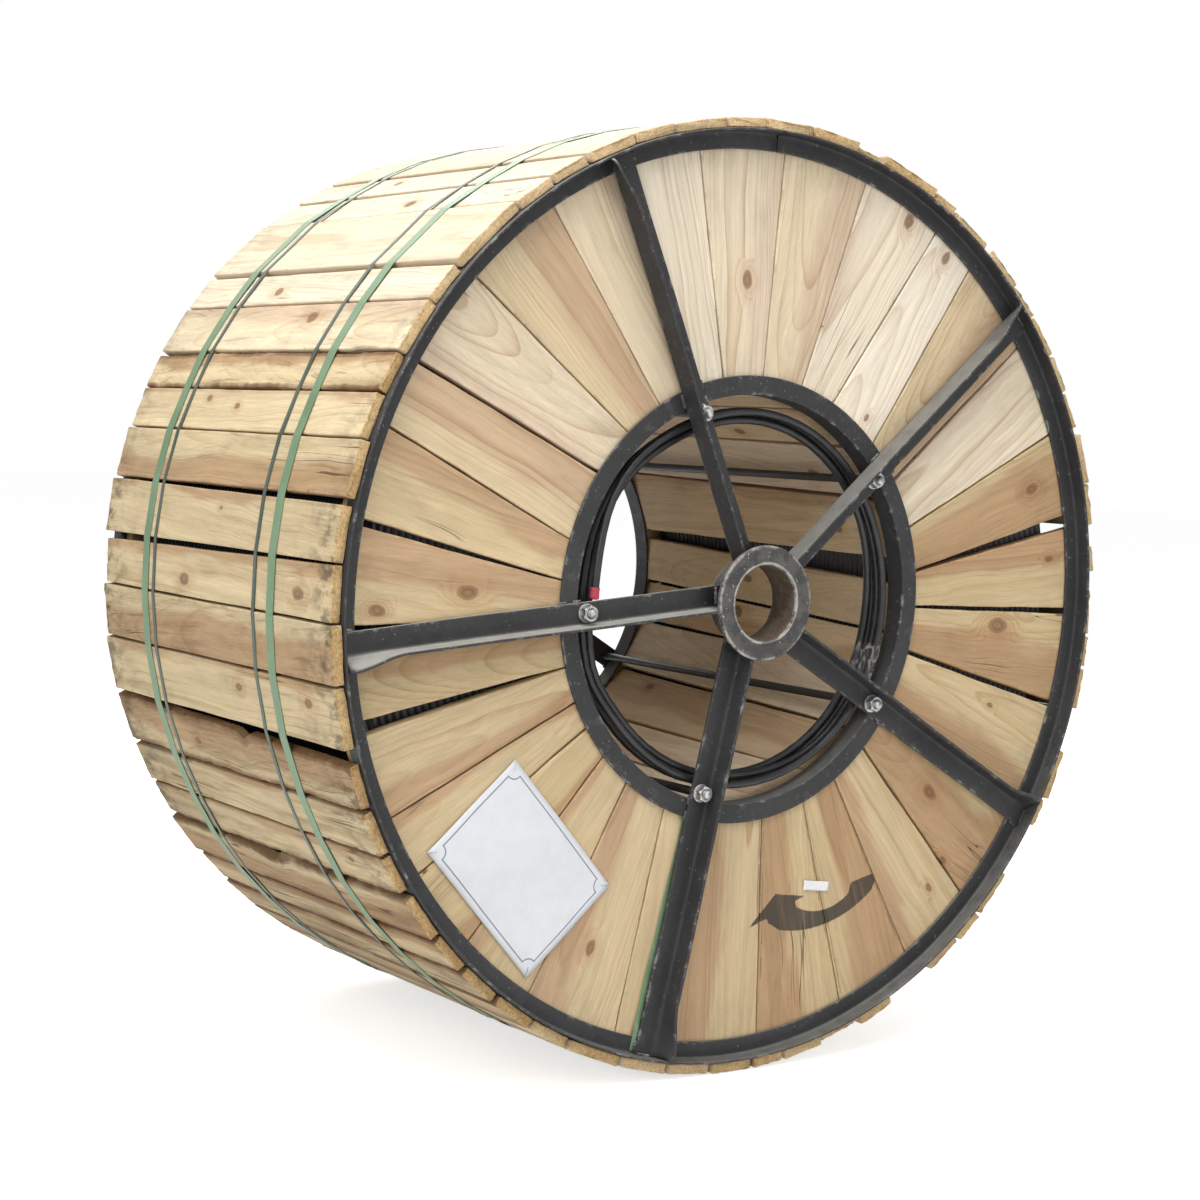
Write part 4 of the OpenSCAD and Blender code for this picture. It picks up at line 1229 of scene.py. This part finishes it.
for side, _ in FACES:
    strap(f"{side}_strap", f"{side}_strap_band", STRAP_LIGHT, "strap_light")
for side, _ in FACES:
    strap(f"{side}_cord_strap", f"{side}_narrow_band", STRAP_DARK, "strap_dark")

STRIP_SPOKE = SPOKE_TURNS[3]
STRIP_FOLD_S = 552 * MM
STRIP_CLIMB = 16 * MM
STRIP_FOLD_HALF = 3.3 * MM


def strip():
    """Strip of strap tucked under the bottom spoke; its folded end climbs onto the rim."""
    cad = loose_parts("strap_strip")[0]
    away, side, _ = turned_by(-STRIP_SPOKE, cad[:, 0], cad[:, 1], 0).T
    near = away < (away.min() + away.max()) / 2
    ends = [(side[group].min() + side[group].max()) / 2 for group in (near, ~near)]
    half = (side[near].max() - side[near].min()) / 2
    s = np.linspace(away.min(), RIM_R - 2 * STEEL_T, 80)[:, None]
    fold = ease((s - STRIP_FOLD_S) / STRIP_CLIMB)
    free = SPOKE_HEEL - SPOKE_LEG - 0.4 * MM - STRIP_FOLD_HALF
    middle = np.interp(s, [away.min(), away.max()], ends) + 0.4 * MM * np.sin(s * 60)
    middle = middle + (free - middle) * fold
    size = 1 + (STRIP_FOLD_HALF / half - 1) * fold
    outline, _ = rounded([(-half, 0), (half, 0), (half, STRAP_T), (-half, STRAP_T)], [0.2] * 4, 2)
    across, rise = outline.T
    lift = BOARD_Z + 0.3 * MM + (FACE_Z - BOARD_Z + 0.2 * MM) * fold + rise
    band = columns(s, across, 0.0)
    shape = Shape()
    shape.sweep(turned_by(STRIP_SPOKE, s, middle + across * size, lift), band=band)
    shape.make("strap_strip_tucked", STRAP_LIGHT, "strap_light", ["strap_strip"])


strip()

SHEET_AT = polar(466 * MM, 225 * DEG, BOARD_Z)
SHEET_TILT = 42 * DEG
STICKER_AT = polar(408 * MM, 290.4 * DEG, BOARD_Z)
STICKER_TILT = -6 * DEG
STAPLE_IN = 6 * MM
STAPLE_HALF = 5.2 * MM


def label(piece, node, at, tilt, size, thick, material, slot, lift, cells):
    """A thin sheet on the flange, lifted off it by a function of the shares across and along."""
    across, along = (np.linspace(-1, 1, n) for n in cells)
    u, v = np.meshgrid(across, along, indexing="ij")
    x, y = u * size[0] / 2, v * size[1] / 2
    rise = 0.3 * MM + lift(u, v)
    seen = at + turned_by(tilt, x, y, rise + thick)
    hidden = at + turned_by(tilt, x, y, rise)
    flat = columns(x, y, 0.0)
    rows, n = cells
    faces = quads(rows, 2 * n)
    for first in (0, (rows - 1) * 2 * n):
        last = first + 2 * n - 1
        faces += [[first + j, first + j + 1, last - j - 1, last - j] for j in range(n - 1)]
    shape = Shape()
    flat = np.concatenate([flat, flat[:, ::-1]], 1)
    shape.add(np.concatenate([seen, hidden[:, ::-1]], 1), faces, flat=flat)
    return shape.make(piece, material, slot, [node])


def sheet_lift(u, v):
    """Waves that die out at the stapled corners and, partly, along the edges."""
    wave = 1.6 * MM * (1 + np.sin(3.4 * v + 1.2 * u + 0.6)) + 0.9 * MM * (1 + np.sin(5.2 * u - 2.0 * v))
    pinned = 1 - np.exp(-((1 - np.abs(u)) ** 2 + (1 - np.abs(v)) ** 2) / 0.03)
    return wave * pinned * (1 - 0.65 * np.maximum(np.abs(u), np.abs(v)) ** 6)


def sticker_lift(u, v):
    return 0.2 * MM * (1 + np.sin(3 * u)) * np.abs(u)


def staples():
    """Wire staples, legs down, across the sheet's corners."""
    shape = Shape()
    in_x, in_y = SHEET_W / 2 - STAPLE_IN, SHEET_L / 2 - STAPLE_IN
    turn = np.linspace(0, math.pi, 9)
    wide = np.sign(np.cos(turn)) * np.abs(np.cos(turn)) ** 0.4 * STAPLE_HALF
    high = np.sin(turn) ** 0.4 * 1.0 * MM
    wide = np.concatenate([[STAPLE_HALF], wide, [-STAPLE_HALF]])
    high = np.concatenate([[-2 * MM], high, [-2 * MM]])
    for u in (-1, 1):
        for v in (-1, 1):
            corner = turned_by(SHEET_TILT, u * in_x, v * in_y, 0.6 * MM)
            way = SHEET_TILT + u * v * 0.8 + rng.uniform(-0.2, 0.2)
            wire = SHEET_AT + corner + turned_by(way, wide, 0, high)
            shape.sweep(tube(wire, turned_by(way, 0, 1, 0), 0.5 * MM, sides=8))
    return shape.make("sheet_staples", ZINC, "zinc")


sheet = label("stapled_sheet", "label_sheet", SHEET_AT, SHEET_TILT, (SHEET_W, SHEET_L), 0.3 * MM,
              SHEET, "sheet_white", sheet_lift, (26, 36))
label("small_sticker", "sticker", STICKER_AT, STICKER_TILT, (44 * MM, 13 * MM), 0.2 * MM,
      STICKER, "sticker_paper", sticker_lift, (12, 6))
staples()


WHITE = (1.0, 1.0, 1.0)
FLOOR_GREY = (0.80, 0.80, 0.80)
FLOOR_GLOW = 0.65
FLOOR_HALF = 30.0
SKY_LIGHT = 0.42
# Lamps: name, place, size, watts
LAMPS = [
    ("key_top", (-1.0, -1.1, 4.1), 3.2, 188), ("left_fill", (-3.8, -1.6, 2.4), 2.6, 62),
    ("front_fill", (1.0, -4.4, 2.0), 3.0, 30), ("back_fill", (1.5, 3.5, 2.6), 2.5, 60)]


def show(p, rays, others, seen, output):
    """Shows one shader to rays of two kinds, and another one to all others."""
    either = p.maths("MAXIMUM", *[p.node("ShaderNodeLightPath", out=ray) for ray in rays])
    p.put(p.tree.nodes[output].inputs[0], p.node("ShaderNodeMixShader", either, others, seen))


def floor():
    """Pale floor that looks white and keeps the shadow."""
    p = Paint("floor_pale")
    p.tree.nodes.remove(p.tree.nodes["Principled BSDF"])
    plain = p.node("ShaderNodeBsdfDiffuse", FLOOR_GREY)
    both = p.node("ShaderNodeAddShader", plain, p.node("ShaderNodeEmission", WHITE, FLOOR_GLOW))
    show(p, ("Is Camera Ray", "Is Glossy Ray"), plain, both, "Material Output")
    mesh = bpy.data.meshes.new("floor")
    corners = [(x * FLOOR_HALF, y * FLOOR_HALF, 0) for x, y in ((-1, -1), (1, -1), (1, 1), (-1, 1))]
    mesh.from_pydata(corners, [], [(0, 1, 2, 3)])
    mesh.materials.append(p.owner)
    linked("floor", mesh)


def sky():
    """Even soft light from all sides, white where the camera sees it."""
    p = Paint("studio", bpy.data.worlds)
    bpy.context.scene.world = p.owner
    soft = p.tree.nodes["Background"]
    p.put(soft.inputs[0], WHITE)
    p.put(soft.inputs[1], SKY_LIGHT)
    white = p.node("ShaderNodeBackground", WHITE)
    show(p, ("Is Camera Ray", "Is Transmission Ray"), soft.outputs[0], white, "World Output")


def lamp(name, at, size, watts):
    light = bpy.data.lights.new(name, "AREA")
    light.size = size
    light.energy = watts
    holder = linked(name, light)
    holder.location = at
    holder.rotation_euler = (Vector((0, 0, AXIS_H)) - Vector(at)).to_track_quat("-Z", "Y").to_euler()


floor()
sky()
for row in LAMPS:
    lamp(*row)
bpy.context.scene.view_settings.view_transform = "Standard"
